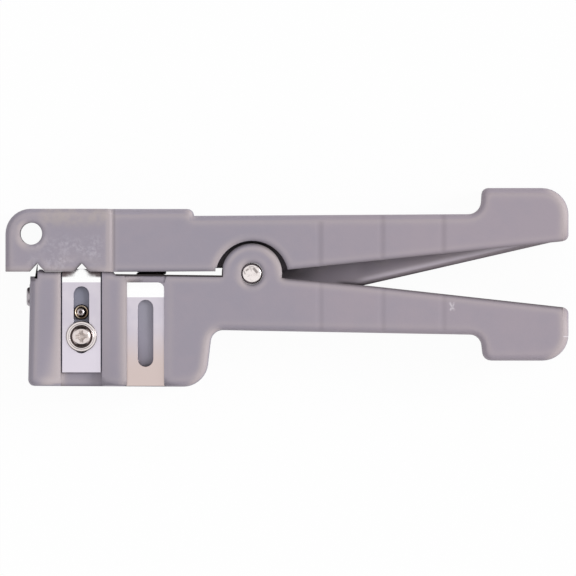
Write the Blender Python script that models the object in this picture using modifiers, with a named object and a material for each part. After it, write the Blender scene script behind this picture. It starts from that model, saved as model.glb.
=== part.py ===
# Coaxial cable stripper: a moulded squeeze tool with two V notches, a ring blade,
# a slitting blade, a stored spare blade and a tension spring that shuts the jaws.
# The tool lies on its back. X runs along it, Y across it and Z through its thickness.
# Sizes are metres. Places in the plane of the tool are measured from the pivot.

import math

import bmesh
import bpy

# Thickness of the tool
BODY_THICK = 0.0182
HEAD_RISE = 0.0005
EDGE_ROUND = 0.0013
HEAD_EDGE_ROUND = 0.0010
KEEL_EDGE_ROUND = 0.0015

# Gap between pieces that touch or run on each other
FIT = 0.0003
# Small offset between faces that would else share a plane
HAIR = 0.00005

# Jaws
JAW_LINE = 0.00042
HEAD_LEFT = -0.0555
HEAD_RIGHT = -0.0313
HEAD_TOP = 0.0146
HEAD_CORNER = 0.0057
HEAD_STEP_CORNER = 0.0012
ARM_RIGHT = -0.0131
PAD_STEP = 0.00037
JAW_SLOPE = 0.0003
END_FACE = -0.0499
END_LEAN = 0.0005
BLOCK_RIGHT = -0.0105
BLOCK_CORNER = 0.0056
BLOCK_TILT = 0.0002
NECK_TOP = -0.0090
NECK_FILLET = 0.0028
HANG_HOLE_X = -0.04974
HANG_HOLE_Y = 0.0090
HANG_HOLE_RADIUS = 0.0025

# Notches over the two working blades
NOTCH_DEPTH = 0.0018
RING_X = -0.0384
SLIT_X = -0.0484

# Hub
PIN_RADIUS = 0.00215
EAR_RADIUS = 0.0068
EAR_THICK = 0.0043
RECESS_RADIUS = 0.00826
RECESS_DROP = 0.0009
RECESS_CHAMFER = 0.0003
KNUCKLE_RADIUS = 0.0065
CORE_STEP_Y = 0.00126

# Handles
UPPER_SPLAY = math.radians(5.9)
UPPER_EDGE_OFFSET = 0.00005
LOWER_EDGE_OFFSET = 0.00040
LOWER_ROOT_SPLAY = math.radians(5.1)
LOWER_SPLAY = math.radians(6.3)
LOWER_BEND_X = 0.0266
HANDLE_TOP = 0.0130
HANDLE_TOP_RISE = 0.0004
HANDLE_BOTTOM = -0.0127
HANDLE_BOTTOM_FALL = 0.0011
STOP_LEFT = 0.0515
UPPER_STOP_LEAN = 0.0004
LOWER_STOP_LEAN = 0.0007
STOP_RIGHT = 0.0713
STOP_TOP = 0.01927
STOP_BOTTOM = -0.0196
UPPER_STOP_CORNER = 0.0060
LOWER_STOP_CORNER = 0.0059
UPPER_STOP_FILLET = 0.0030
LOWER_STOP_FILLET = 0.0027
STEP_CORNER = 0.0014
LOWER_STEP_CORNER = 0.0019
INNER_CORNER = 0.0016
INNER_MARGIN = 0.0030

# Hollows of the handles, with the cross ribs that brace their walls
WALL = 0.0030
WEB = 0.0026
HOLLOW_START = 0.0105
RIB_PLACES = (0.0153, 0.0293, 0.0430)
RIB_THICK = 0.0014
KEEL_THICK = 0.0060
KEEL_DEPTH = 0.0082
KEEL_ANGLE = math.radians(12.9)

# Blades: three alike, each a slotted strip with one ground edge
BLADE_LENGTH = 0.0233
BLADE_WIDTH = 0.0087
BLADE_THICK = 0.0006
BLADE_BEVEL = 0.0031
BLADE_LAND = 0.00006
SLOT_WIDTH = 0.0035
SLOT_LENGTH = 0.0151
SLOT_START = 0.0039
CHANNEL_DEPTH = 0.00185
RING_EDGE_Y = 0.00104
SLIT_EDGE_Y = 0.0021
SPARE_X = -0.02396
SPARE_EDGE_BELOW_LINE = 0.00242
SPARE_END_CLEARANCE = 0.0002
SPARE_LIP_THICK = 0.00065
SPARE_LIP_REACH = 0.00045
BLADE_LIFT = 0.0021
SHOULDER_DROP = 0.0009
SIGHT_DROP = 0.0014

# Small rest for the cable beside the slitting blade, and the relief above the spare blade's mouth
REST_HEIGHT = 0.00066
REST_SIDE = 0.0002
RELIEF_DEPTH = 0.00025
RELIEF_TOP_WIDTH = 0.0095
RELIEF_MOUTH_WIDTH = 0.0086
RELIEF_RIM = 0.00045

# Clamp screws, cup washers, inserts and guide bushes
RING_CLAMP_BELOW_EDGE = 0.0152
SLIT_CLAMP_BELOW_EDGE = 0.0073
CLAMP_TO_GUIDE = 0.0055
HEAD_RADIUS = 0.00215
HEAD_HEIGHT = 0.00095
# Pan head from its crown outwards: share of the radius, share of the height
HEAD_PROFILE = ((0.0, 1.0), (0.6, 0.88), (0.9, 0.58), (1.0, 0.25), (1.0, 0.0))
SCREW_TIP_SHARE = 0.6
WASHER_RADIUS = 0.00347
WASHER_HEIGHT = 0.0009
WASHER_FLOOR = 0.00035
# Raised ring of the washer: distance outwards from its cup, share of the height
WASHER_RIM = ((0.0, 0.85), (0.0003, 1.0), (0.0006, 0.9))
WASHER_OUTER_SHARE = 0.3
INSERT_RADIUS = 0.0023
INSERT_LENGTH = 0.0062
SCREW_LENGTH = 0.0062
BUSH_LENGTH = 0.0060
BUSH_WALL = 0.0003
GRUB_RADIUS = 0.0010
GRUB_LENGTH = 0.0040

# Tension spring and its two cross pins
SPRING_X = -0.0227
SPRING_RADIUS = 0.0034
SPRING_WIRE = 0.0008
SPRING_BOTTOM = -0.0085
SPRING_TOP = 0.0055
SPRING_TURNS = 12
SPRING_TURN_POINTS = 12
HOOK_POINTS = 11
HOOK_SWEEP = math.radians(280.0)
# Share of the coil's radius at the two points where the wire runs in to the hook
HOOK_LEAD_IN = (0.72, 0.28)
PIN_BEYOND_COIL = 0.0037
CROSS_PIN_RADIUS = 0.00125
CROSS_PIN_LENGTH = 0.0147
POCKET_CLEARANCE = 0.0004
POCKET_BEYOND_PIN = 0.0026

# Fineness of arcs
SMALL_RADIUS = 0.002
SMALL_STEP = math.radians(24.0)
LARGE_STEP = math.radians(10.0)
ROUND_SIDES = 32
SMALL_SIDES = 24
BEYOND = 0.002
# Most of an edge that a rounded corner may take up
CORNER_SHARE = 0.98

# Worked-out levels and places
MIDDLE = BODY_THICK / 2
HEAD_BOTTOM = JAW_LINE + FIT / 2
PAD_TOP = JAW_LINE - FIT / 2
BLOCK_TOP = PAD_TOP - PAD_STEP
ARM_BOTTOM = HEAD_BOTTOM - HAIR
CHANNEL_WIDTH = BLADE_WIDTH + 2 * FIT
SPARE_EDGE_Y = JAW_LINE - SPARE_EDGE_BELOW_LINE
BLOCK_BOTTOM = SPARE_EDGE_Y - BLADE_LENGTH - SPARE_END_CLEARANCE
BLADE_BACK = FIT
BLADE_FRONT = BLADE_BACK + BLADE_THICK
RING_FLOOR = BODY_THICK - CHANNEL_DEPTH
SLIT_FLOOR = END_FACE + CHANNEL_DEPTH
SHANK_RADIUS = SLOT_WIDTH / 2 - FIT
CORE_BACK = EAR_THICK + FIT
CORE_FRONT = BODY_THICK - EAR_THICK - FIT
UPPER_PIN_Y = SPRING_TOP + PIN_BEYOND_COIL
LOWER_PIN_Y = SPRING_BOTTOM - PIN_BEYOND_COIL
POCKET_RADIUS = SPRING_RADIUS + POCKET_CLEARANCE
CENTRE_X = (HEAD_LEFT + STOP_RIGHT) / 2
CENTRE_Y = (BLOCK_BOTTOM + STOP_TOP) / 2


def new_collection(name):
    """Add a collection to the scene"""
    collection = bpy.data.collections.new(name)
    bpy.context.scene.collection.children.link(collection)
    return collection


def material(name, colour, roughness, metallic):
    """One Principled material"""
    made = bpy.data.materials.new(name)
    made.use_nodes = True
    shader = made.node_tree.nodes["Principled BSDF"]
    shader.inputs["Base Color"].default_value = (*colour, 1.0)
    shader.inputs["Roughness"].default_value = roughness
    shader.inputs["Metallic"].default_value = metallic
    return made


GREY_PLASTIC = ((0.353, 0.318, 0.381), 0.55, 0.0)
BLADE_STEEL = ((0.72, 0.70, 0.73), 0.22, 1.0)
PLATED_STEEL = ((0.66, 0.64, 0.62), 0.30, 1.0)
BRASS = ((0.55, 0.42, 0.25), 0.35, 1.0)
BLACK_STEEL = ((0.02, 0.02, 0.022), 0.35, 0.8)


def upper_edge(x):
    """Height of the upper handle's inner edge at x"""
    return UPPER_EDGE_OFFSET + x * math.tan(UPPER_SPLAY)


def lower_edge(x):
    """Height of the lower handle's inner edge at x"""
    root = min(x, LOWER_BEND_X)
    return -LOWER_EDGE_OFFSET - root * math.tan(LOWER_ROOT_SPLAY) - (x - root) * math.tan(LOWER_SPLAY)


def keel_edge(x):
    """Height of the keel's lower edge at x"""
    return -KEEL_DEPTH / math.cos(KEEL_ANGLE) + x * math.tan(KEEL_ANGLE)


def arc(centre, radius, start, end):
    """Points along an arc from one angle to another"""
    fine = SMALL_STEP if radius < SMALL_RADIUS else LARGE_STEP
    count = max(2, math.ceil(abs(end - start) / fine))
    turns = [start + (end - start) * i / count for i in range(count + 1)]
    return [(centre[0] + radius * math.cos(t), centre[1] + radius * math.sin(t)) for t in turns]


def rounded(corners):
    """Outline of a polygon given as (x, y, corner radius)"""
    outline = []
    for i, (x, y, radius) in enumerate(corners):
        if radius == 0:
            outline.append((x, y))
            continue
        before = corners[i - 1]
        after = corners[(i + 1) % len(corners)]
        into = math.atan2(y - before[1], x - before[0])
        away = math.atan2(after[1] - y, after[0] - x)
        turn = (away - into + math.pi) % (2 * math.pi) - math.pi
        room = [math.dist((x, y), other[:2]) * CORNER_SHARE * radius / (radius + other[2])
                for other in (before, after)]
        reach = min(radius * math.tan(abs(turn) / 2), *room)
        radius = reach / math.tan(abs(turn) / 2)
        side = math.copysign(math.pi / 2, turn)
        centre = (x - reach * math.cos(into) + radius * math.cos(into + side),
                  y - reach * math.sin(into) + radius * math.sin(into + side))
        outline += arc(centre, radius, into - side, into - side + turn)
    return outline


def curve_to_mesh(curve_object, collection):
    """Swap a curve for a closed mesh of the same name and place"""
    bpy.context.view_layer.update()
    evaluated = curve_object.evaluated_get(bpy.context.evaluated_depsgraph_get())
    mesh = bpy.data.meshes.new_from_object(evaluated)
    shape = bmesh.new()
    shape.from_mesh(mesh)
    bmesh.ops.remove_doubles(shape, verts=shape.verts, dist=1e-6)
    bmesh.ops.recalc_face_normals(shape, faces=shape.faces)
    shape.to_mesh(mesh)
    shape.free()
    name = curve_object.name
    place = curve_object.matrix_world.copy()
    bpy.data.objects.remove(curve_object)
    made = bpy.data.objects.new(name, mesh)
    made.matrix_world = place
    collection.objects.link(made)
    return made


def slab(name, outlines, low, high, collection, edge_round=0.0):
    """Extrude closed outlines from z = low to high, with rounded rims"""
    curve = bpy.data.curves.new(name, "CURVE")
    curve.dimensions = "2D"
    curve.fill_mode = "BOTH"
    curve.extrude = (high - low) / 2 - edge_round
    curve.bevel_depth = edge_round
    curve.bevel_resolution = 1
    curve.offset = -edge_round
    for outline in outlines:
        spline = curve.splines.new("POLY")
        spline.points.add(len(outline) - 1)
        for point, (x, y) in zip(spline.points, outline):
            point.co = (x, y, 0.0, 1.0)
        spline.use_cyclic_u = True
    curve_object = bpy.data.objects.new(name, curve)
    curve_object.location = (0.0, 0.0, (low + high) / 2)
    collection.objects.link(curve_object)
    return curve_to_mesh(curve_object, collection)


def block(name, low, high, collection):
    """A box between two corners"""
    made = bpy.data.objects.new(name, bpy.data.meshes.new(name))
    shape = bmesh.new()
    bmesh.ops.create_cube(shape, size=1.0)
    size = [b - a for a, b in zip(low, high)]
    bmesh.ops.scale(shape, vec=size, verts=shape.verts)
    shape.to_mesh(made.data)
    shape.free()
    made.location = [(a + b) / 2 for a, b in zip(low, high)]
    collection.objects.link(made)
    return made


def rod(name, base, axis, radius, length, collection, sides=SMALL_SIDES):
    """A cylinder from a point along X, Y or Z"""
    made = bpy.data.objects.new(name, bpy.data.meshes.new(name))
    shape = bmesh.new()
    bmesh.ops.create_cone(shape, cap_ends=True, segments=sides, radius1=radius, radius2=radius,
                          depth=length)
    bmesh.ops.translate(shape, vec=(0.0, 0.0, length / 2), verts=shape.verts)
    shape.to_mesh(made.data)
    shape.free()
    made.location = base
    if axis == "X":
        made.rotation_euler = (0.0, math.pi / 2, 0.0)
    if axis == "Y":
        made.rotation_euler = (-math.pi / 2, 0.0, 0.0)
    collection.objects.link(made)
    return made


def turned(name, profile, collection, sides=SMALL_SIDES, closed=False):
    """Turn a profile of (radius, height) points about Z"""
    mesh = bpy.data.meshes.new(name)
    points = [(radius, 0.0, height) for radius, height in profile]
    edges = [(i, i + 1) for i in range(len(points) - 1)]
    if closed:
        edges.append((len(points) - 1, 0))
    mesh.from_pydata(points, edges, [])
    made = bpy.data.objects.new(name, mesh)
    screw = made.modifiers.new("turn", "SCREW")
    screw.steps = sides
    screw.render_steps = sides
    screw.use_merge_vertices = True
    screw.merge_threshold = 1e-5
    collection.objects.link(made)
    return made


def boolean(target, tool, operation):
    """Join a tool to a body or cut it out"""
    change = target.modifiers.new(tool.name, "BOOLEAN")
    change.operation = operation
    change.solver = "EXACT"
    change.object = tool


def cut(target, *tools):
    """Cut tools out of a body"""
    for tool in tools:
        boolean(target, tool, "DIFFERENCE")


def join(target, *tools):
    """Join tools to a body"""
    for tool in tools:
        boolean(target, tool, "UNION")


def place(made, parent, location=(0.0, 0.0, 0.0)):
    """Put a piece under its parent"""
    made.parent = parent
    made.location = location


def finish(made, name, look, parent):
    """Name a piece, shade it and hang it under its parent"""
    made.name = name
    made.data.name = name
    made.data.materials.clear()
    made.data.materials.append(material(name, *look))
    made.data.shade_smooth()
    made.data.set_sharp_from_angle(angle=math.radians(35.0))
    made.parent = parent


def head_outline():
    """Raised head plate with the big hanging corner, run on past its lower edge"""
    return rounded([
        (HEAD_LEFT, -INNER_MARGIN, 0.0),
        (HEAD_RIGHT, -INNER_MARGIN, 0.0),
        (HEAD_RIGHT, HEAD_TOP, HEAD_STEP_CORNER),
        (HEAD_LEFT, HEAD_TOP, HEAD_CORNER),
    ])


def upper_outline():
    """Outer sides of the arm, handle and finger stop, run on past their inner edge"""
    stub = HEAD_RIGHT - WALL
    return rounded([
        (stub, -INNER_MARGIN, 0.0),
        (STOP_RIGHT, -INNER_MARGIN, 0.0),
        (STOP_RIGHT, STOP_TOP, UPPER_STOP_CORNER),
        (STOP_LEFT + UPPER_STOP_LEAN, STOP_TOP, STEP_CORNER),
        (STOP_LEFT, HANDLE_TOP + HANDLE_TOP_RISE, UPPER_STOP_FILLET),
        (ARM_RIGHT, HANDLE_TOP, 0.0),
        (ARM_RIGHT, HEAD_TOP - HAIR, STEP_CORNER),
        (stub, HEAD_TOP - HAIR, 0.0),
    ])


def upper_inner_cut():
    """Space below the inner edge of the arm and the handle, which keeps that edge crisp"""
    left = HEAD_RIGHT - WALL - BEYOND
    right = STOP_RIGHT + HAIR
    low = -INNER_MARGIN - BEYOND
    bend = (ARM_BOTTOM - UPPER_EDGE_OFFSET) / math.tan(UPPER_SPLAY)
    return rounded([
        (left, low, 0.0),
        (right + BEYOND, low, 0.0),
        (right + BEYOND, upper_edge(right) + 2 * INNER_CORNER, 0.0),
        (right, upper_edge(right) + 2 * INNER_CORNER, 0.0),
        (right, upper_edge(right), INNER_CORNER),
        (bend, ARM_BOTTOM, 0.0),
        (left, ARM_BOTTOM, 0.0),
    ])


def keel_outline():
    """Central rib of the upper handle, which sinks into the lower one"""
    tip = (KEEL_DEPTH / math.cos(KEEL_ANGLE) + UPPER_EDGE_OFFSET) / (
        math.tan(KEEL_ANGLE) - math.tan(UPPER_SPLAY))
    shoulder = (KEEL_DEPTH / math.cos(KEEL_ANGLE) - KNUCKLE_RADIUS) / math.tan(KEEL_ANGLE)
    return rounded([
        (0.0, -KNUCKLE_RADIUS, 0.0),
        (shoulder, -KNUCKLE_RADIUS, 0.0),
        (tip, keel_edge(tip), 0.0),
        (STOP_RIGHT - WALL, upper_edge(STOP_RIGHT - WALL) + FIT, 0.0),
        (STOP_RIGHT - WALL, HANDLE_TOP - WEB / 2, 0.0),
        (0.0, HANDLE_TOP - WEB / 2, 0.0),
    ])


def hollow_outline(start, end, far, stop_far, stop_corner, edge):
    """Side view of a handle's hollow between two ribs"""
    beyond = -math.copysign(BEYOND, far)
    corners = [
        (start, edge(start) + beyond, 0.0),
        (start, far, 0.0),
    ]
    if end > STOP_LEFT + WALL:
        inside = STOP_LEFT + WALL
        lean = UPPER_STOP_LEAN if far > 0 else LOWER_STOP_LEAN
        corners += [(inside, far, 0.0), (inside + lean, stop_far, 0.0)]
        corners += [(end, stop_far, stop_corner - WALL)]
    else:
        corners += [(end, far, 0.0)]
    corners += [(end, edge(end) + beyond, 0.0)]
    return rounded(corners)


def hollow_spans():
    """Lengths of open hollow between the cross ribs"""
    starts = [HOLLOW_START] + [place_x + RIB_THICK / 2 for place_x in RIB_PLACES]
    ends = [place_x - RIB_THICK / 2 for place_x in RIB_PLACES] + [STOP_RIGHT - WALL]
    return list(zip(starts, ends))


def notch(name, x, collection):
    """Right-angled V cut across the upper jaw"""
    low = HEAD_BOTTOM - BEYOND
    half = NOTCH_DEPTH + BEYOND
    points = [(x - half, low), (x + half, low), (x, HEAD_BOTTOM + NOTCH_DEPTH)]
    return slab(name, [points], -BEYOND, BODY_THICK + BEYOND, collection)


def upper_body(parts, cutters, tool):
    """Upper moulding: head, arm, hub knuckle, keel and hollow handle"""
    body = slab("upper_body", [upper_outline()], 0.0, BODY_THICK, parts, EDGE_ROUND)
    inner = slab("upper_inner_cut", [upper_inner_cut()], -BEYOND, BODY_THICK + BEYOND, cutters)

    far = HANDLE_TOP - WEB
    stop_far = STOP_TOP - WALL
    hollows = [
        slab(f"upper_hollow_{i}",
             [hollow_outline(start, end, far, stop_far, UPPER_STOP_CORNER, upper_edge)],
             WALL, BODY_THICK - WALL, cutters)
        for i, (start, end) in enumerate(hollow_spans(), 1)
    ]
    cut(body, inner, *hollows)

    keel = slab("keel", [keel_outline()], MIDDLE - KEEL_THICK / 2, MIDDLE + KEEL_THICK / 2, cutters,
                KEEL_EDGE_ROUND)
    cut(body, recess("back_recess", cutters, False), recess("front_recess", cutters, True))
    step = block("core_step", (-RECESS_RADIUS, -BEYOND, -BEYOND),
                 (-KNUCKLE_RADIUS / 2, CORE_STEP_Y, BODY_THICK + BEYOND), cutters)
    cut(body, step)
    knuckle = rod("knuckle", (0.0, 0.0, CORE_BACK), "Z", KNUCKLE_RADIUS, CORE_FRONT - CORE_BACK,
                  cutters, ROUND_SIDES)
    join(body, knuckle, keel)
    bore = rod("upper_pivot_bore", (0.0, 0.0, -BEYOND), "Z", PIN_RADIUS + FIT,
               BODY_THICK + 2 * BEYOND, cutters)
    cut(body, bore)

    head = slab("head", [head_outline()], HAIR, BODY_THICK + HEAD_RISE, cutters,
                HEAD_EDGE_ROUND)
    cut(head, block("head_inner_cut", (HEAD_LEFT - BEYOND, -INNER_MARGIN - BEYOND, -BEYOND),
                    (HEAD_RIGHT + BEYOND, HEAD_BOTTOM, BODY_THICK + BEYOND), cutters))
    join(body, head)
    slit = block("ring_blade_slit",
                 (RING_X - CHANNEL_WIDTH / 2, HEAD_BOTTOM - BEYOND, RING_FLOOR),
                 (RING_X + CHANNEL_WIDTH / 2, RING_EDGE_Y + BLADE_LIFT + FIT,
                  RING_FLOOR + BLADE_FRONT + FIT), cutters)
    hang_hole = rod("hang_hole", (HANG_HOLE_X, HANG_HOLE_Y, -BEYOND), "Z", HANG_HOLE_RADIUS,
                    BODY_THICK + 2 * BEYOND, cutters, ROUND_SIDES)
    pocket_top = UPPER_PIN_Y + POCKET_BEYOND_PIN
    pocket = rod("upper_spring_pocket", (SPRING_X, -BEYOND, MIDDLE), "Y", POCKET_RADIUS,
                 pocket_top + BEYOND, cutters)
    pin_bore = rod("upper_pin_bore", (SPRING_X, UPPER_PIN_Y, -BEYOND), "Z",
                   CROSS_PIN_RADIUS + FIT, CROSS_PIN_LENGTH + 2 * FIT + BEYOND, cutters)
    cut(body, notch("ring_notch", RING_X, cutters), notch("slit_notch", SLIT_X, cutters), slit,
        hang_hole, pocket, pin_bore)
    finish(body, "upper_body", GREY_PLASTIC, tool)


def recess(name, collection, front):
    """Round recess of the upper moulding over one ear, with a small chamfer at its rim"""
    depth = BODY_THICK - CORE_FRONT
    profile = [
        (0.0, depth + BEYOND),
        (RECESS_RADIUS + RECESS_CHAMFER + BEYOND, depth + BEYOND),
        (RECESS_RADIUS, depth - RECESS_CHAMFER),
        (RECESS_RADIUS, 0.0),
        (0.0, 0.0),
    ]
    made = turned(name, profile, collection, ROUND_SIDES * 2)
    made.location = (0.0, -RECESS_DROP, CORE_FRONT if front else CORE_BACK)
    if not front:
        made.rotation_euler = (math.pi, 0.0, 0.0)
    return made


def lower_outline():
    """Outer sides of the jaw block, handle and finger stop, run on past their inner edge"""
    top = EAR_RADIUS + INNER_MARGIN
    return rounded([
        (STOP_RIGHT, top, 0.0),
        (STOP_RIGHT, STOP_BOTTOM, LOWER_STOP_CORNER),
        (STOP_LEFT + LOWER_STOP_LEAN, STOP_BOTTOM, LOWER_STEP_CORNER),
        (STOP_LEFT, HANDLE_BOTTOM - HANDLE_BOTTOM_FALL, LOWER_STOP_FILLET),
        (NECK_TOP, HANDLE_BOTTOM, NECK_FILLET),
        (BLOCK_RIGHT, BLOCK_BOTTOM, BLOCK_CORNER),
        (END_FACE - END_LEAN, BLOCK_BOTTOM + BLOCK_TILT, STEP_CORNER),
        (END_FACE, PAD_TOP, 0.0),
        (END_FACE, top, 0.0),
    ])


def lower_inner_cut():
    """Space above the jaw pads, the ears and the handle's inner edge, all with crisp edges"""
    left = END_FACE - END_LEAN - BEYOND
    right = STOP_RIGHT + HAIR
    high = EAR_RADIUS + INNER_MARGIN + BEYOND
    ear_left = math.pi - math.asin((BLOCK_TOP - JAW_SLOPE) / EAR_RADIUS)
    ear_right = math.asin(lower_edge(EAR_RADIUS) / EAR_RADIUS)
    ear = arc((0.0, 0.0), EAR_RADIUS, ear_left, ear_right)
    return rounded([
        (left, high, 0.0),
        (left, PAD_TOP, 0.0),
        (HEAD_RIGHT, PAD_TOP, 0.0),
        (HEAD_RIGHT + PAD_STEP, BLOCK_TOP, 0.0),
    ] + [(x, y, 0.0) for x, y in ear] + [
        (LOWER_BEND_X, lower_edge(LOWER_BEND_X), 0.0),
        (right, lower_edge(right), INNER_CORNER),
        (right, lower_edge(right) - 2 * INNER_CORNER, 0.0),
        (right + BEYOND, lower_edge(right) - 2 * INNER_CORNER, 0.0),
        (right + BEYOND, high, 0.0),
    ])


def lower_hollows(cutters):
    """Channel of the lower handle, with pockets between its cross ribs"""
    far = HANDLE_BOTTOM - HANDLE_BOTTOM_FALL + WEB
    stop_far = STOP_BOTTOM + WALL
    made = [
        slab(f"lower_hollow_{i}",
             [hollow_outline(start, end, far, stop_far, LOWER_STOP_CORNER, lower_edge)],
             WALL, BODY_THICK - WALL, cutters)
        for i, (start, end) in enumerate(hollow_spans(), 1)
    ]
    floor = HANDLE_BOTTOM + WEB
    half = KEEL_THICK / 2 + FIT
    made.append(slab("keel_slot", [[
        (0.0, EAR_RADIUS + BEYOND),
        (0.0, floor),
        (STOP_LEFT, floor - HANDLE_BOTTOM_FALL / 2),
        (STOP_LEFT + WALL / 2, floor),
        (STOP_LEFT + WALL / 2, EAR_RADIUS + BEYOND),
    ]], MIDDLE - half, MIDDLE + half, cutters))
    return made


def lower_hub(cutters):
    """Space between the two ears for the knuckle of the upper moulding"""
    low = EAR_THICK
    high = BODY_THICK - EAR_THICK
    disc = rod("knuckle_space", (0.0, 0.0, low), "Z", KNUCKLE_RADIUS + FIT + HAIR,
               high - low, cutters, ROUND_SIDES)
    top = block("knuckle_opening", (-EAR_RADIUS - BEYOND, BLOCK_TOP - JAW_SLOPE - HAIR, low),
                (HOLLOW_START, EAR_RADIUS + BEYOND, high), cutters)
    bore = rod("lower_pivot_bore", (0.0, 0.0, -BEYOND), "Z", PIN_RADIUS + FIT,
               BODY_THICK + 2 * BEYOND, cutters)
    return disc, top, bore


def cable_rest(cutters):
    """Small rest that stands in the slitting notch beside its blade, clear of the notch's flank"""
    top = PAD_TOP + REST_HEIGHT
    flank = SLIT_X + NOTCH_DEPTH + HEAD_BOTTOM - FIT * math.sqrt(2)
    return slab("cable_rest", [[
        (SLIT_FLOOR, PAD_TOP - SIGHT_DROP),
        (flank - PAD_TOP, PAD_TOP - SIGHT_DROP),
        (flank - PAD_TOP, PAD_TOP),
        (flank - top, top),
        (SLIT_FLOOR + REST_SIDE, top),
        (SLIT_FLOOR, top - REST_SIDE),
    ]], HAIR, BODY_THICK - HAIR, cutters)


def spare_relief(cutters):
    """Shallow step in the block's face above the spare blade's mouth"""
    half_top = RELIEF_TOP_WIDTH / 2
    half_mouth = RELIEF_MOUTH_WIDTH / 2
    return slab("spare_relief", [[
        (SPARE_X - half_mouth, SPARE_EDGE_Y - HAIR),
        (SPARE_X + half_mouth, SPARE_EDGE_Y - HAIR),
        (SPARE_X + half_top, BLOCK_TOP - RELIEF_RIM),
        (SPARE_X - half_top, BLOCK_TOP - RELIEF_RIM),
    ]], BODY_THICK - RELIEF_DEPTH, BODY_THICK + BEYOND, cutters)


def lower_body(parts, cutters, tool):
    """Lower moulding: jaw block with blade channels, ears and channelled handle"""
    body = slab("lower_body", [lower_outline()], 0.0, BODY_THICK, parts, EDGE_ROUND)
    inner = slab("lower_inner_cut", [lower_inner_cut()], -BEYOND, BODY_THICK + BEYOND, cutters)
    cut(body, inner, *lower_hollows(cutters), *lower_hub(cutters))

    ring_channel = block("ring_channel",
                         (RING_X - CHANNEL_WIDTH / 2, BLOCK_BOTTOM - BEYOND, RING_FLOOR),
                         (RING_X + CHANNEL_WIDTH / 2, PAD_TOP + BEYOND, BODY_THICK + BEYOND), cutters)
    slit_channel = block("slit_channel",
                         (END_FACE - END_LEAN - BEYOND, BLOCK_BOTTOM - BEYOND,
                          MIDDLE - CHANNEL_WIDTH / 2),
                         (SLIT_FLOOR, PAD_TOP + BEYOND, MIDDLE + CHANNEL_WIDTH / 2), cutters)
    shoulder = block("end_shoulder", (END_FACE - BEYOND, PAD_TOP - SHOULDER_DROP, -BEYOND),
                     (SLIT_FLOOR, PAD_TOP + BEYOND, BODY_THICK + BEYOND), cutters)
    sight = block("blade_sight", (SLIT_FLOOR - BLADE_FRONT - FIT, PAD_TOP - SIGHT_DROP, -BEYOND),
                  (SLIT_FLOOR, PAD_TOP, BODY_THICK + BEYOND), cutters)
    cut(body, ring_channel, slit_channel, shoulder, sight)
    join(body, cable_rest(cutters))

    spare_slot = block("spare_slot",
                       (SPARE_X - CHANNEL_WIDTH / 2, BLOCK_BOTTOM - BEYOND, RING_FLOOR),
                       (SPARE_X + CHANNEL_WIDTH / 2, SPARE_EDGE_Y + SPARE_LIP_REACH + FIT,
                        BODY_THICK - SPARE_LIP_THICK), cutters)
    half = CHANNEL_WIDTH / 2 - SPARE_LIP_REACH
    spare_mouth = slab("spare_mouth", [rounded([
        (SPARE_X - half, BLOCK_BOTTOM - BEYOND, 0.0),
        (SPARE_X + half, BLOCK_BOTTOM - BEYOND, 0.0),
        (SPARE_X + half, SPARE_EDGE_Y, STEP_CORNER),
        (SPARE_X - half, SPARE_EDGE_Y, 0.0),
    ])], BODY_THICK - SPARE_LIP_THICK - FIT, BODY_THICK + BEYOND, cutters)
    cut(body, spare_slot, spare_mouth, spare_relief(cutters))

    pocket_bottom = LOWER_PIN_Y - POCKET_BEYOND_PIN
    pocket = rod("lower_spring_pocket", (SPRING_X, pocket_bottom, MIDDLE), "Y", POCKET_RADIUS,
                 PAD_TOP + BEYOND - pocket_bottom, cutters)
    pin_bore = rod("lower_pin_bore", (SPRING_X, LOWER_PIN_Y, -BEYOND), "Z",
                   CROSS_PIN_RADIUS + FIT, CROSS_PIN_LENGTH + 2 * FIT + BEYOND, cutters)
    cut(body, pocket, pin_bore)

    for kind, frame in (("ring", (RING_X, RING_FLOOR)), ("slit", (SLIT_FLOOR, MIDDLE))):
        clamp_y, guide_y = fastener_places(kind)
        for role, y, radius, depth in (
                ("insert", clamp_y, INSERT_RADIUS, INSERT_LENGTH),
                ("bush", guide_y, SHANK_RADIUS, BUSH_LENGTH - BLADE_FRONT)):
            name = f"{kind}_{role}_bore"
            length = depth + 2 * FIT + BEYOND
            if kind == "ring":
                base = (frame[0], y, frame[1] + BEYOND - length)
                tool_rod = rod(name, base, "Z", radius + FIT, length, cutters)
            else:
                base = (frame[0] - BEYOND, y, frame[1])
                tool_rod = rod(name, base, "X", radius + FIT, length, cutters)
            cut(body, tool_rod)
    finish(body, "lower_body", GREY_PLASTIC, tool)


def fastener_places(kind):
    """Heights of a station's clamp screw and guide bush"""
    if kind == "ring":
        clamp = RING_EDGE_Y - RING_CLAMP_BELOW_EDGE
        return clamp, clamp + CLAMP_TO_GUIDE
    clamp = SLIT_EDGE_Y - SLIT_CLAMP_BELOW_EDGE
    return clamp, clamp - CLAMP_TO_GUIDE


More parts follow.
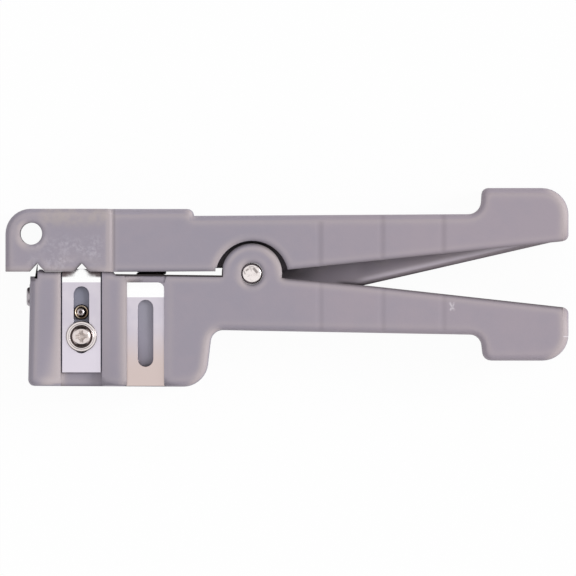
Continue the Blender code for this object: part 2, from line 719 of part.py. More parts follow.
def blade(name, parts, station, edge_y):
    """Slotted strip with one ground bevel; its edge lies along the station's X"""
    half = BLADE_WIDTH / 2
    strip = [(-half, 0.0), (-half, -BLADE_LENGTH), (half, -BLADE_LENGTH), (half, 0.0)]
    slot_half = SLOT_WIDTH / 2
    top = -SLOT_START - slot_half
    bottom = -SLOT_START - SLOT_LENGTH + slot_half
    slot = arc((0.0, top), slot_half, 0.0, math.pi) + arc((0.0, bottom), slot_half, math.pi,
                                                          2 * math.pi)
    made = slab(name, [strip, slot], 0.0, BLADE_THICK, parts)
    shape = bmesh.new()
    shape.from_mesh(made.data)
    bmesh.ops.translate(shape, vec=(0.0, 0.0, BLADE_THICK / 2), verts=shape.verts)
    slope = (BLADE_THICK - BLADE_LAND) / BLADE_BEVEL
    bmesh.ops.bisect_plane(shape, geom=shape.verts[:] + shape.edges[:] + shape.faces[:],
                           plane_co=(0.0, 0.0, BLADE_LAND), plane_no=(0.0, slope, 1.0),
                           clear_outer=True)
    rim = [edge for edge in shape.edges if edge.is_boundary]
    bmesh.ops.contextual_create(shape, geom=rim)
    bmesh.ops.triangulate(shape, faces=[face for face in shape.faces if len(face.verts) > 4])
    bmesh.ops.recalc_face_normals(shape, faces=shape.faces)
    shape.to_mesh(made.data)
    shape.free()
    finish(made, name, BLADE_STEEL, station)
    place(made, station, (0.0, edge_y, BLADE_BACK))


def clamp_screw(name, parts, station, y):
    """Pan head screw through a cup washer and the blade's slot"""
    under = BLADE_FRONT + FIT + WASHER_FLOOR + FIT
    head = [(HEAD_RADIUS * out, under + HEAD_HEIGHT * up) for out, up in HEAD_PROFILE]
    profile = head + [
        (SHANK_RADIUS, under),
        (SHANK_RADIUS, under - SCREW_LENGTH + FIT),
        (SHANK_RADIUS * SCREW_TIP_SHARE, under - SCREW_LENGTH),
        (0.0, under - SCREW_LENGTH),
    ]
    made = turned(name, profile, parts)
    finish(made, name, PLATED_STEEL, station)
    place(made, station, (0.0, y, 0.0))


def cup_washer(name, parts, station, y):
    """Raised ring that cups the screw head"""
    floor = BLADE_FRONT + FIT
    inner = HEAD_RADIUS + FIT
    profile = [(inner + out, floor + WASHER_HEIGHT * up) for out, up in WASHER_RIM] + [
        (WASHER_RADIUS, floor + WASHER_HEIGHT * WASHER_OUTER_SHARE),
        (WASHER_RADIUS, floor),
        (SHANK_RADIUS + FIT, floor),
        (SHANK_RADIUS + FIT, floor + WASHER_FLOOR),
        (inner, floor + WASHER_FLOOR),
    ]
    made = turned(name, profile, parts, closed=True)
    finish(made, name, PLATED_STEEL, station)
    place(made, station, (0.0, y, 0.0))


def clamp_insert(name, parts, station, y):
    """Brass sleeve that takes the clamp screw's thread"""
    high = -FIT
    low = high - INSERT_LENGTH
    inner = SHANK_RADIUS + FIT
    profile = [(INSERT_RADIUS, high), (INSERT_RADIUS, low), (inner, low), (inner, high)]
    made = turned(name, profile, parts, closed=True)
    finish(made, name, BRASS, station)
    place(made, station, (0.0, y, 0.0))


def guide_bush(name, parts, station, y):
    """Brass bush that stands in the blade's slot and keeps the blade square"""
    high = BLADE_FRONT
    low = high - BUSH_LENGTH
    inner = SHANK_RADIUS - BUSH_WALL
    profile = [
        (SHANK_RADIUS, high),
        (SHANK_RADIUS, low),
        (inner, low),
        (inner, high),
    ]
    made = turned(name, profile, parts, closed=True)
    finish(made, name, BRASS, station)
    place(made, station, (0.0, y, 0.0))


def guide_screw(name, parts, station, y):
    """Small set screw inside the guide bush"""
    high = BLADE_FRONT - FIT / 2
    profile = [
        (0.0, high),
        (GRUB_RADIUS, high),
        (GRUB_RADIUS, high - GRUB_LENGTH),
        (0.0, high - GRUB_LENGTH),
    ]
    made = turned(name, profile, parts)
    finish(made, name, PLATED_STEEL, station)
    place(made, station, (0.0, y, 0.0))


def station_empty(name, parent, location, turn):
    """Empty at a blade channel's floor, its Z pointing out of the channel"""
    empty = bpy.data.objects.new(name, None)
    bpy.context.scene.collection.objects.link(empty)
    empty.parent = parent
    empty.location = location
    empty.rotation_euler = (0.0, turn, 0.0)
    return empty


def working_station(kind, station, edge_y, parts):
    """Blade with its clamp screw, cup washer, insert, guide bush and set screw"""
    clamp_y, guide_y = fastener_places(kind)
    blade_names = {"ring": "ring_blade", "slit": "slitting_blade"}
    blade(blade_names[kind], parts, station, edge_y)
    clamp_screw(f"{kind}_clamp_screw", parts, station, clamp_y)
    cup_washer(f"{kind}_cup_washer", parts, station, clamp_y)
    clamp_insert(f"{kind}_clamp_insert", parts, station, clamp_y)
    guide_bush(f"{kind}_guide_bush", parts, station, guide_y)
    guide_screw(f"{kind}_guide_screw", parts, station, guide_y)


def pivot_pin(parts, tool):
    """Steel pin through both ears and the knuckle, with softened ends"""
    low = FIT
    high = BODY_THICK + FIT / 2
    profile = [
        (0.0, high),
        (PIN_RADIUS - FIT, high),
        (PIN_RADIUS, high - FIT),
        (PIN_RADIUS, low + FIT),
        (PIN_RADIUS - FIT, low),
        (0.0, low),
    ]
    made = turned("pivot_pin", profile, parts, ROUND_SIDES)
    finish(made, "pivot_pin", PLATED_STEEL, tool)


def cross_pin(name, parts, tool, y):
    """Steel pin that holds one hook of the spring"""
    made = rod(name, (SPRING_X, y, FIT), "Z", CROSS_PIN_RADIUS, CROSS_PIN_LENGTH, parts, 16)
    finish(made, name, PLATED_STEEL, tool)


def hook(pin_y, coil_end, up):
    """Wire path from the end of the coil round its cross pin"""
    loop = CROSS_PIN_RADIUS + FIT + SPRING_WIRE / 2
    way = 1.0 if up else -1.0
    start = pin_y - way * loop
    neck = (start + coil_end) / 2
    radius = SPRING_RADIUS - SPRING_WIRE / 2
    path = [
        (SPRING_X + radius * HOOK_LEAD_IN[0], (coil_end + neck) / 2, MIDDLE),
        (SPRING_X + radius * HOOK_LEAD_IN[1], neck, MIDDLE),
    ]
    for i in range(HOOK_POINTS):
        turn = -way * (math.pi / 2 + HOOK_SWEEP * i / (HOOK_POINTS - 1))
        path.append((SPRING_X + loop * math.cos(turn), pin_y + loop * math.sin(turn), MIDDLE))
    return path


def spring(parts, tool):
    """Close-wound tension spring with a hook at each end"""
    radius = SPRING_RADIUS - SPRING_WIRE / 2
    count = SPRING_TURNS * SPRING_TURN_POINTS
    coil = []
    for i in range(count + 1):
        turn = 2 * math.pi * i / SPRING_TURN_POINTS
        y = SPRING_BOTTOM + (SPRING_TOP - SPRING_BOTTOM) * i / count
        coil.append((SPRING_X + radius * math.cos(turn), y, MIDDLE - radius * math.sin(turn)))
    path = hook(LOWER_PIN_Y, SPRING_BOTTOM, False)[::-1] + coil + hook(UPPER_PIN_Y, SPRING_TOP, True)
    curve = bpy.data.curves.new("jaw_spring", "CURVE")
    curve.dimensions = "3D"
    curve.bevel_depth = SPRING_WIRE / 2
    curve.bevel_resolution = 2
    curve.use_fill_caps = True
    spline = curve.splines.new("POLY")
    spline.points.add(len(path) - 1)
    for point, co in zip(spline.points, path):
        point.co = (*co, 1.0)
    curve_object = bpy.data.objects.new("jaw_spring", curve)
    parts.objects.link(curve_object)
    made = curve_to_mesh(curve_object, parts)
    finish(made, "jaw_spring", BLACK_STEEL, tool)


def main():
    for old in list(bpy.data.objects):
        bpy.data.objects.remove(old)
    parts = new_collection("coaxial_cable_stripper")
    cutters = new_collection("cutters")
    tool = bpy.data.objects.new("tool_frame", None)
    tool.location = (-CENTRE_X, -CENTRE_Y, 0.0)
    bpy.context.scene.collection.objects.link(tool)

    upper_body(parts, cutters, tool)
    lower_body(parts, cutters, tool)
    pivot_pin(parts, tool)
    cross_pin("upper_spring_pin", parts, tool, UPPER_PIN_Y)
    cross_pin("lower_spring_pin", parts, tool, LOWER_PIN_Y)
    spring(parts, tool)

    ring = station_empty("ring_station", tool, (RING_X, 0.0, RING_FLOOR), 0.0)
    slit = station_empty("slit_station", tool, (SLIT_FLOOR, 0.0, MIDDLE), -math.pi / 2)
    spare = station_empty("spare_station", tool, (SPARE_X, 0.0, RING_FLOOR), 0.0)
    working_station("ring", ring, RING_EDGE_Y, parts)
    working_station("slit", slit, SLIT_EDGE_Y, parts)
    blade("spare_blade", parts, spare, SPARE_EDGE_Y)

    for cutter in cutters.objects:
        cutter.parent = tool
        cutter.hide_render = True
        cutter.display_type = "WIRE"


main()
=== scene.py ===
# Looks of a coaxial cable stripper, lying on its back on a pale table and seen from straight above.
# Sizes are metres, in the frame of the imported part. X runs along the tool and Z out of the table.

import math

import bmesh
import bpy
from mathutils import Matrix, Vector


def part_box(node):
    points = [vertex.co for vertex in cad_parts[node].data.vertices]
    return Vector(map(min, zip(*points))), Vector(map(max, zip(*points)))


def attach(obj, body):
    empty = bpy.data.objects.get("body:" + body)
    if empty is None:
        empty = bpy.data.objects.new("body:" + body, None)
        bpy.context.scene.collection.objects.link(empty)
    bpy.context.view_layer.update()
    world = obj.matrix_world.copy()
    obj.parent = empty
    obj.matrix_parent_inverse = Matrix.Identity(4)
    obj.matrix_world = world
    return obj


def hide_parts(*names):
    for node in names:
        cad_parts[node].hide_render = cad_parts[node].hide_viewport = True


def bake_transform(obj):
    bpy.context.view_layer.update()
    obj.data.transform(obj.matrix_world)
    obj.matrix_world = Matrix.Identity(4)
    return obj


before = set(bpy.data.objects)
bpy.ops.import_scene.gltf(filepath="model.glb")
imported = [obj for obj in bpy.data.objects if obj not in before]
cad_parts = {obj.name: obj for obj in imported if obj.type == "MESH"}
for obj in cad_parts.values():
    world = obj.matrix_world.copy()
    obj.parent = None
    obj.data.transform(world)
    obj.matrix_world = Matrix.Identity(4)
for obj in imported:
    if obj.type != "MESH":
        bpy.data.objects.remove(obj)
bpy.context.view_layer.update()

# Places on the part
PIVOT = Vector((-0.0079, 0.003115, 0.0))
BODY_FRONT = 0.0182
HEAD_LOWER_EDGE = 0.003685
HEAD_RIGHT = -0.0392
PAD_TOP = 0.003385
RIB_PLACES = (0.0074, 0.0214, 0.0351)
RING_PLACE = Vector((-0.0463, 0.003115, 0.01635))
SLIT_PLACE = Vector((-0.05595, 0.003115, 0.0091))
STATIONS = {
    "ring": Matrix.Translation(RING_PLACE),
    "slit": Matrix.Translation(SLIT_PLACE) @ Matrix.Rotation(-math.pi / 2, 4, "Y"),
}
CLAMP_Y = {"ring": -0.01416, "slit": -0.0052}
GUIDE_Y = {"ring": -0.00866, "slit": -0.0107}

# How far the edges of the shut jaws are drawn together, and where that has run out
HEAD_CLOSING = 0.00013
PAD_CLOSING = 0.00013
CLOSING_END = -0.0180
HEAD_EDGE_NEAR = 0.00007
NEAR = 0.00004

# Gaps beside the slitting blade: places of their two walls, their floor and how far each wall closes
SIGHT_WALLS = (-0.05715, -0.05595)
SIGHT_FLOOR = 0.001985
SIGHT_CLOSING = 0.00024
REST_TOP = 0.0037
REST_SLOPE = 0.0003

# Blades: finish of the steel and length of the ground bevel
BLADES = (
    ("ring_blade", "bright", 0.00300),
    ("slitting_blade", "edge-on", 0.0031),
    ("spare_blade", "warm", 0.00333),
)
BROKEN_EDGE = 0.00004
BEVEL_FADE = 0.00008
EDGE_DULL = (0.0012, 0.0024)

# Painted shade of the jaw on the ring blade: how far it reaches, and where it fades, along Y and from the
# middle
JAW_SHADE_REACH = 0.0018
JAW_SHADE_NORTH = (0.0021, 0.0026)
JAW_SHADE_SIDES = (0.0009, 0.0025)
JAW_SHADE_MIDDLE = 0.00013

# Cup washer, with heights over the channel's floor
WASHER_BASE = 0.00093
WASHER_TOP = 0.0021
WASHER_RADIUS = 0.00347
CUP_RADIUS = 0.00243
GROOVE_RADIUS = 0.00289
SHANK_ROOM = 0.0001

# Clamp screw: its head's crown is given as shares of its radius and its height
HEAD_UNDER = 0.0016
HEAD_TOP = 0.0028
HEAD_RADIUS = 0.0022
HEAD_CROWN = (
    (0.0, 1.0), (0.30, 0.995), (0.60, 0.975), (0.78, 0.93), (0.87, 0.84), (0.93, 0.68),
    (0.975, 0.46), (1.0, 0.24), (1.0, 0.04), (0.985, 0.0),
)
SHANK_RADIUS = 0.00145
SCREW_END = -0.0043
SCREW_POINT = 0.85
THREAD_TURNS = 9
THREAD_PITCH = 0.0005
THREAD_DEPTH = 0.00022
THREAD_GAP = 0.0006
RECESS_ARM = 0.00082
RECESS_REACH = 0.0033
RECESS_DEPTH = 0.0006
RECESS_ARM_FOOT = (0.40, 0.62)
RECESS_TURN = {"ring": math.radians(2.0), "slit": math.radians(38.0)}
RECESS_EDGE = (0.00168, 0.00174)
# Ends of the head that take painted shade
HEAD_ENDS = (0.00156, 0.00180)
HEAD_FAR_END = (0.0011, 0.0014)
FACING_AXIS = {"ring": 2, "slit": 0}
# Dull grey plating, much darker on the slit fasteners as painted shade
DULLING_AND_SHADE = {"ring": 0.12, "slit": 0.85}

# Guide bush and the set screw inside it
BUSH_OUTER = 0.00152
BUSH_INNER = 0.00118
BUSH_TOP = 0.0009
BUSH_END = -0.0051
SET_SCREW_RADIUS = 0.00098
SET_SCREW_TOP = 0.00082
SET_SCREW_END = -0.0032
SET_SCREW_SHIFT = -0.00019
SOCKET_RADIUS = 0.00046
SOCKET_DEPTH = 0.0009
INSERT_EDGE = 0.00008

# Pivot pin: its crown is given as shares of its radius and drops from its end
PIN_WAIST = 0.00240
PIN_END = 0.00045
PIN_WAIST_SLOPE = 0.0002
PIN_CROWN = (
    (0.0, 0.0), (0.12, 0.0), (0.24, 0.0), (0.36, 0.0), (0.48, 0.0), (0.60, 0.00001),
    (0.70, 0.00002), (0.79, 0.00003), (0.87, 0.00005), (0.93, 0.00009), (0.975, 0.00020),
    (1.0, 0.0004),
)
# Dents of the hammer: place from the pin's axis, spread and depth
PIN_DENTS = (
    (0.00080, 0.00075, 0.00030, 0.00013),
    (0.00045, 0.00115, 0.00026, 0.00010),
    (-0.00125, 0.00050, 0.00026, 0.00012),
    (-0.00095, 0.00015, 0.00024, 0.00007),
    (-0.00060, 0.00100, 0.00024, 0.00008),
    (0.00015, -0.00085, 0.00034, 0.00004),
    (0.00120, 0.00020, 0.00022, 0.00007),
    (-0.00040, -0.00040, 0.00028, 0.00003),
)
# Dull marks of the peening tool, painted darker with the dark reflections of their dents: place from the
# pin's axis, angle, half length, half width, depth
PIN_MARKS = (
    (0.00078, 0.00072, -50.0, 0.00095, 0.00042, 0.66),
    (-0.00105, 0.00085, 35.0, 0.00050, 0.00030, 0.55),
    (-0.00165, 0.00020, -70.0, 0.00050, 0.00022, 0.50),
    (-0.00010, 0.00155, 0.0, 0.00075, 0.00018, 0.45),
    (-0.00070, -0.00055, 20.0, 0.00040, 0.00020, 0.18),
)
PIN_EDGE = 0.0002

# Jaw spring, with heights from the pivot
WIRE = 0.0004
SPRING_RADIUS = 0.0034 - WIRE
SPRING_PLACE = PIVOT + Vector((-0.0227, 0.0, 0.0091))
SPRING_BOTTOM = -0.0085
SPRING_TOP = 0.0055
SPRING_TURNS = 16
TURN_POINTS = 24
HOOK_REACH = 0.0037
HOOK_RADIUS = 0.00125 + 0.0003 + WIRE
HOOK_SWEEP = math.radians(280.0)
HOOK_STEPS = 20

# Edges of the mouldings, from the pivot
HEAD_STEP = HEAD_RIGHT - PIVOT.x
KEEL_DROP = 0.008412
KEEL_SLOPE = math.tan(math.radians(12.9))
HANDLE_EDGE_DROP = 0.0004
HANDLE_EDGE_SLOPE = math.tan(math.radians(5.1))
INNER_EDGE_SLOPE = 0.1033
JAW_EDGE_DROP = 0.0001
JAW_EDGE_START = -0.0309
JAW_EDGE_SLOPE = 0.0124

# Rounded look of the moulded edges, with their painted highlights and painted shade
BEVEL_SAMPLES = 8
SOFT_RADIUS = 0.0017
WIDE_RADIUS = 0.0031
CREST_RISE = (0.0, 0.008)
CREST_FALL = (0.05, 0.085)
LEAN_LEAST = 0.12
FLAT_FACE = (0.96, 0.999)
UPWARD_FACE = (0.2, 0.6)
TOWARDS_LAMP = (0.03, 0.30)

# Drift of the colour along the tool, in the part's own frame, and the scale of the plastic's grain
DRIFT_ALONG = (-0.020, 0.030)
GRAIN = 2600.0

# Where each tone of the plastic, its own tints and its painted highlights and shade, fades in or out: EAST
# and NORTH are from the pivot, HEIGHT and DEEP are from the table, and the first KEEL values are over the
# keel's lower edge
KEEL_CREST = 0.00113
KEEL_CREST_FADE = (KEEL_CREST + 0.0001, KEEL_CREST + 0.0011)
KEEL_CREST_START = KEEL_CREST - 0.0005
KEEL_TOP = (KEEL_CREST + 0.0004, KEEL_CREST + 0.0025)
KEEL_UNDER = KEEL_CREST - 0.0003
FROST_EAST = (-0.0490, -0.0350)
FROST_NORTH = (0.0062, 0.0098)
TAN_EAST = (-0.0460, -0.0335)
TAN_NORTH = (0.0095, 0.0125)
TAN_HEIGHT = (0.0170, 0.0182)
STEP_EAST = (HEAD_STEP - 0.0012, HEAD_STEP - 0.0003)
CREASE_PLACE = 0.00030
CREASE_FADE = (0.00008, 0.00040)
LIP_EAST = (-0.0313, -0.0311)
LIP_NORTH = (0.00085, 0.00210)
UPPER_DEEP = (0.0130, 0.0165)
EAR_GAP_REACH = (0.0081, 0.0084)
EAR_GAP_HEIGHT = (0.0174, 0.0180)
EAR_GAP_NORTH = (0.0, 0.0075)
KEEL_CLEAR_EAST = (0.0225, 0.0262)
KEEL_SUNK_EAST = (0.0212, 0.0252)
KEEL_SUNK_FADE = 0.0008
KEEL_VALLEY = 0.0002
KEEL_VALLEY_FADE = (0.0002, 0.0018)
KEEL_ROOT_EAST = (0.0075, 0.0170)
KEEL_SLOW_EAST = (0.0079, 0.0339)
SLOT_EAST = (-0.0191, -0.0186)
SLOT_NORTH = (-0.0215, -0.0205)
SLOT_HEIGHT = (0.0172, 0.0176)
SLOT_CHANGE_EAST = (-0.0306, -0.0296)
SPARE_SLOT_NORTH = (-0.0170, -0.0060)
JAW_LINE_NORTH = (-0.00046, -0.00036)
JAW_LINE_EAST = (-0.0306, -0.0066)
SHOULDER_EAST = (-0.0497, -0.0488)
SHOULDER_NORTH = (-0.0016, -0.0002)
LOWER_DEEP = (0.0130, 0.0155)
CRISP_UPPER_EAST = (-0.0313, -0.0309)
CRISP_STEP_EAST = (HEAD_STEP - 0.0016, HEAD_STEP + 0.0006)
CRISP_LOWER_EAST = (-0.0480, -0.0186)
CRISP_LOWER_NORTH = (-0.0240, -0.0230)

# Scuffs of the lower handle: place, angle, half length, half width, worn share and whole share
SCUFF_MARKS = (
    (0.03716, -0.00425, -59.0, 0.00125, 0.00034, 0.50, 0.20),
    (0.03722, -0.00430, 62.0, 0.00130, 0.00030, 0.55, 0.06),
)
SCRATCH_MARK = (0.06275, -0.01105, 0.0, 0.00070, 0.00016)

# Sink marks across the handles: half width, depth, and their fade at the ends
SINK_HALF = 0.00115
SINK_DEPTH = 0.00008
SINK_FADE = 0.0006

# How much of each tone shows, its own tints and its painted highlights and shade
KEEL_TONES = {
    "shine": 0.95, "top": 0.19, "under": 0.35, "sunk": 0.60, "valley": 0.26, "root": 0.14,
    "slow root": 0.38, "ground": 0.06, "most": 0.95,
}
UPPER_TONES = {
    "frost": 0.42, "tan clouds": 0.30, "tan": 0.12, "step": 0.40, "lip": 0.45,
    "ear gap north": 0.80, "ear gap": 0.05, "crease": 0.24, "sink": 0.12,
}
LOWER_TONES = {
    "slot": 0.85, "deep": 0.25, "jaw line": 0.97, "shoulder": 0.42, "scratch": 0.7, "sink": 0.06,
}

# Limits of the meshes: points joined, faces taken as flat, edges shaded smooth or rounded
WELD = 0.000002
FLAT = math.radians(0.5)
SOFT_EDGE = math.radians(50.0)
ROUNDED_EDGE = math.radians(30.0)
RECESS_ABOVE = 0.3

# Table, light and camera
TABLE_HALF = 3.0
TABLE_DROP = 0.0002
TABLE_GLOW = 0.96
TABLE_MATT = (0.86, 0.86, 0.86, 1.0)
WHITE = (1.0, 1.0, 1.0, 1.0)
AMBIENT = (0.70, 0.70, 0.70, 1.0)
DARK_END = (0.04, 0.03, 0.03, 1.0)
DARK_END_FADE = (0.45, 0.75)
LAMP_ENERGY = 1.8
LAMP_ANGLE = math.radians(24.0)
LAMP_RISE = math.radians(30.0)
LAMP_TURN = math.radians(13.0)
LENS = 1500.0
SENSOR = 36.0
HALF_WIDTH = 0.06485
EYE_EAST = 0.00023
EYE_NORTH = -0.00013
CLIP_SHARE = 1.2


class Value:
    """Output of a node, which can be used in sums"""

    def __init__(self, paint, socket):
        self.paint = paint
        self.socket = socket

    def sum_node(self, operation, first, second):
        return self.paint.node("ShaderNodeMath", {"operation": operation}, {0: first, 1: second})

    def __add__(self, other):
        return self.sum_node("ADD", self, other)

    def __radd__(self, other):
        return self.sum_node("ADD", other, self)

    def __sub__(self, other):
        return self.sum_node("SUBTRACT", self, other)

    def __rsub__(self, other):
        return self.sum_node("SUBTRACT", other, self)

    def __mul__(self, other):
        return self.sum_node("MULTIPLY", self, other)

    def __rmul__(self, other):
        return self.sum_node("MULTIPLY", other, self)

    def __abs__(self):
        return self.sum_node("ABSOLUTE", self, 0.0)

    def __pow__(self, other):
        return self.sum_node("POWER", self, other)

    def least(self, other):
        return self.sum_node("MINIMUM", self, other)

    def most(self, other):
        return self.sum_node("MAXIMUM", self, other)


class Paint:
    """One node tree, with a short way to add nodes to it"""

    def __init__(self, tree):
        self.tree = tree

    def node(self, kind, settings=None, sockets=None, output=0):
        """Add a node: its settings first, then the values or links of its sockets"""
        made = self.tree.nodes.new(kind)
        for key, value in (settings or {}).items():
            setattr(made, key, value)
        for key, value in (sockets or {}).items():
            self.feed(made.inputs[key], value)
        return Value(self, made.outputs[output])

    def feed(self, socket, value):
        if isinstance(value, Value):
            self.tree.links.new(value.socket, socket)
        else:
            socket.default_value = value

    def place(self):
        return self.node("ShaderNodeTexCoord", output="Object")

    def axes(self):
        spot = self.place()
        return [self.node("ShaderNodeSeparateXYZ", None, {0: spot}, axis) for axis in range(3)]

    def noise(self, scale, detail=2.0, roughness=0.5, stretch=None):
        spot = self.place()
        if stretch:
            spot = self.node("ShaderNodeMapping", None, {"Vector": spot, "Scale": stretch})
        return self.node("ShaderNodeTexNoise", None, {
            "Vector": spot, "Scale": scale, "Detail": detail, "Roughness": roughness})

    def between(self, value, low, high):
        """0 below low and 1 above high, with a soft step between them"""
        return self.node("ShaderNodeMapRange", {"interpolation_type": "SMOOTHSTEP"}, {
            "Value": value, "From Min": low, "From Max": high})

    def band(self, value, low, high, fade):
        """1 from low to high, with a soft step outside each"""
        return self.between(value, low - fade, low) * (1 - self.between(value, high, high + fade))

    def mix(self, factor, first, second):
        return self.node("ShaderNodeMix", {"data_type": "RGBA"}, {0: factor, 6: first, 7: second}, 2)

    def bump(self, height, distance, strength=1.0, under=None):
        sockets = {"Height": height, "Distance": distance, "Strength": strength}
        if under:
            sockets["Normal"] = under
        return self.node("ShaderNodeBump", None, sockets)

    def dress(self, shader, colour, roughness, normal):
        """Feed the three inputs that every finish varies"""
        self.feed(shader.inputs["Base Color"], colour)
        self.feed(shader.inputs["Roughness"], roughness)
        self.feed(shader.inputs["Normal"], normal)

    def distance(self, first, second):
        """Length of a run in two directions"""
        return (first * first + second * second) ** 0.5

    def part(self, vector, axis):
        """One of a vector's three parts"""
        return self.node("ShaderNodeSeparateXYZ", None, {0: vector}, axis)

    def turned_by(self, first, second):
        """0 where two directions agree, and more as they part"""
        return 1 - self.node("ShaderNodeVectorMath", {"operation": "DOT_PRODUCT"}, {0: first, 1: second}, 1)

    def near_line(self, x, y, angle, half_length, half_width):
        """1 on a short straight mark round a point of the XY plane, 0 off it; the angle is in degrees"""
        turn = math.radians(angle)
        along_x, along_y = math.cos(turn), math.sin(turn)
        across, up, _ = self.axes()
        run = (across - x) * along_x + (up - y) * along_y
        off = (up - y) * along_x - (across - x) * along_y
        inside = 1 - self.between(abs(run), half_length * 0.6, half_length)
        return inside * (1 - self.between(abs(off), half_width * 0.4, half_width))


def shade(red, green, blue):
    """A screen colour, 0 to 255, as a linear colour"""
    linear = []
    for part in (red, green, blue):
        share = part / 255
        linear.append(share / 12.92 if share <= 0.04045 else ((share + 0.055) / 1.055) ** 2.4)
    return (*linear, 1.0)


def finish_of(name, constants):
    """A Principled material with its constants set, and the paint that adds to it"""
    material = bpy.data.materials.new(name)
    material.use_nodes = True
    paint = Paint(material.node_tree)
    shader = material.node_tree.nodes["Principled BSDF"]
    for key, value in constants.items():
        shader.inputs[key].default_value = value
    return material, paint, shader


LAVENDER_GREY = shade(155, 148, 160)
ROSE_GREY = shade(164, 153, 163)
# Light colour of the painted highlights on the plastic's edges
EDGE_HIGHLIGHT = shade(188, 176, 176)
TAN_GREY = shade(186, 174, 166)
FROST_GREY = shade(196, 190, 200)
# Painted shade on the ring slot's floor, and painted light on the spare slot's floor, lightest towards -Y
SLOT_FLOOR_SHADE = shade(128, 130, 146)
SPARE_FLOOR_LIGHT = shade(159, 157, 170)
LOW_SPARE_FLOOR_LIGHT = shade(184, 180, 196)
# Light colour of the painted highlight along the keel
KEEL_HIGHLIGHT = shade(214, 204, 214)
# Dark colour of the painted shade on the plastic
PAINTED_SHADE_COLOUR = shade(46, 38, 40)
SCUFF = shade(214, 208, 214)
FACE_STEEL = shade(211, 204, 215)
FACE_STEEL_LIGHT = shade(218, 211, 220)
FACE_STEEL_DARK = shade(192, 186, 196)
FOOT_STEEL = shade(226, 219, 230)
WARM_STEEL = shade(212, 194, 188)
# Black of the painted shade on an edge-on blade's thin sides
THIN_SIDE_SHADE_STEEL = shade(20, 16, 18)
JAW_SHADE = shade(104, 88, 91)
PLATING = shade(243, 236, 235)
PLATING_WARM = shade(222, 205, 198)
PLATING_PIT = shade(150, 138, 134)
# Dull grey plating, which on the slit fasteners also stands for painted shade
PLATING_DULL_SHADED = shade(160, 155, 162)
# Matt, lighter colour of the painted light in the screws' cross recesses
PLATING_RECESS_LIGHT = shade(208, 195, 190)
# Dark colour for the painted shade round the fasteners, and for the pin's marks
PLATING_SHADE_AND_MARKS = shade(70, 56, 52)
BRASS = shade(222, 206, 184)
BRASS_TARNISH = shade(170, 146, 120)
BRASS_SHADE = shade(84, 60, 44)
WIRE_BLACK = shade(24, 21, 22)
WIRE_BROWN = shade(52, 42, 38)


def sink_marks(paint, across, up, centre, half_reach):
    """1 along the marks that a handle's ribs have drawn into its face"""
    marks = 0.0
    for rib in RIB_PLACES:
        marks = (1 - paint.between(abs(across - rib), 0.0, SINK_HALF)) + marks
    return marks * (1 - paint.between(abs(up - centre), half_reach - SINK_FADE, half_reach))


# Mix painted shade into a colour
def paint_in_shade(paint, colour, amount):
    return paint.mix(amount, colour, PAINTED_SHADE_COLOUR)


def keel_shading(paint, colour, east, north, deep):
    """Painted crest of light along the keel's lower edge, and painted shade round it"""
    tone = KEEL_TONES
    above = north + KEEL_DROP - east * KEEL_SLOPE
    clear = paint.between(east, *KEEL_CLEAR_EAST)
    crest = 1 - paint.between(above, *KEEL_CREST_FADE)
    crest = crest * paint.between(above, KEEL_CREST_START, KEEL_CREST)
    colour = paint.mix(crest * deep * clear * tone["shine"], colour, KEEL_HIGHLIGHT)
    top = paint.between(above, *KEEL_TOP) * clear * tone["top"]
    under = (1 - paint.between(above, 0.0, KEEL_UNDER)) * clear * tone["under"]
    over_handle = north + HANDLE_EDGE_DROP + east * HANDLE_EDGE_SLOPE
    sunk = (1 - paint.between(over_handle, 0.0, KEEL_SUNK_FADE)) * paint.band(east, *KEEL_SUNK_EAST, 0.003)
    valley = 1 - paint.between(abs(north + KEEL_VALLEY), *KEEL_VALLEY_FADE)
    root = (1 - paint.between(east, *KEEL_ROOT_EAST)) * (valley * tone["valley"] + tone["root"])
    slow_root = (1 - paint.between(east, *KEEL_SLOW_EAST)) * tone["slow root"]
    shade_there = top.most(under).most(sunk * tone["sunk"]) + root + slow_root + tone["ground"]
    return colour, shade_there.least(tone["most"]) * deep


def upper_details(paint, colour, east, north, height):
    """Frosted head with a painted highlight on its step and lower edge, painted shade in the crease beside
    the step, round the keel and in the round recess over the ear
    """
    tone = UPPER_TONES
    head = paint.band(east, *FROST_EAST, 0.0025) * (1 - paint.between(north, *FROST_NORTH))
    speck = paint.between(paint.noise(1250.0, 3.0, 0.6), 0.40, 0.68)
    patch = paint.between(paint.noise(330.0, 2.0), 0.38, 0.60)
    frost = speck * head * (patch * 0.8 + 0.2)
    colour = paint.mix(frost * tone["frost"], colour, FROST_GREY)
    tan = paint.between(north, *TAN_NORTH) * paint.band(east, *TAN_EAST, 0.003)
    tan = tan * paint.between(height, *TAN_HEIGHT)
    cloud = paint.between(paint.noise(500.0, 3.0, 0.6), 0.35, 0.65)
    colour = paint.mix(tan * (cloud * tone["tan clouds"] + tone["tan"]), colour, TAN_GREY)
    # Painted highlight on the head's rounded step
    step = paint.band(east, *STEP_EAST, 0.0008)
    colour = paint.mix(step * tone["step"], colour, EDGE_HIGHLIGHT)
    # Painted shadow in the crease beside the step
    crease = 1 - paint.between(abs(east - HEAD_STEP - CREASE_PLACE), *CREASE_FADE)
    # Painted highlight along the head's lower edge
    lip = (1 - paint.between(north, *LIP_NORTH)) * (1 - paint.between(east, *LIP_EAST))
    colour = paint.mix(lip * tone["lip"], colour, EDGE_HIGHLIGHT)
    deep = 1 - paint.between(height, *UPPER_DEEP)
    colour, shadow = keel_shading(paint, colour, east, north, deep)
    # Painted shade in the recess round the ear, darker towards its upper side
    from_hub = paint.distance(east, north)
    gap = (1 - paint.between(from_hub, *EAR_GAP_REACH)) * (1 - paint.between(height, *EAR_GAP_HEIGHT))
    gap = gap * (paint.between(north, *EAR_GAP_NORTH) * tone["ear gap north"] + tone["ear gap"])
    return colour, shadow.most(gap).most(crease * tone["crease"]), frost


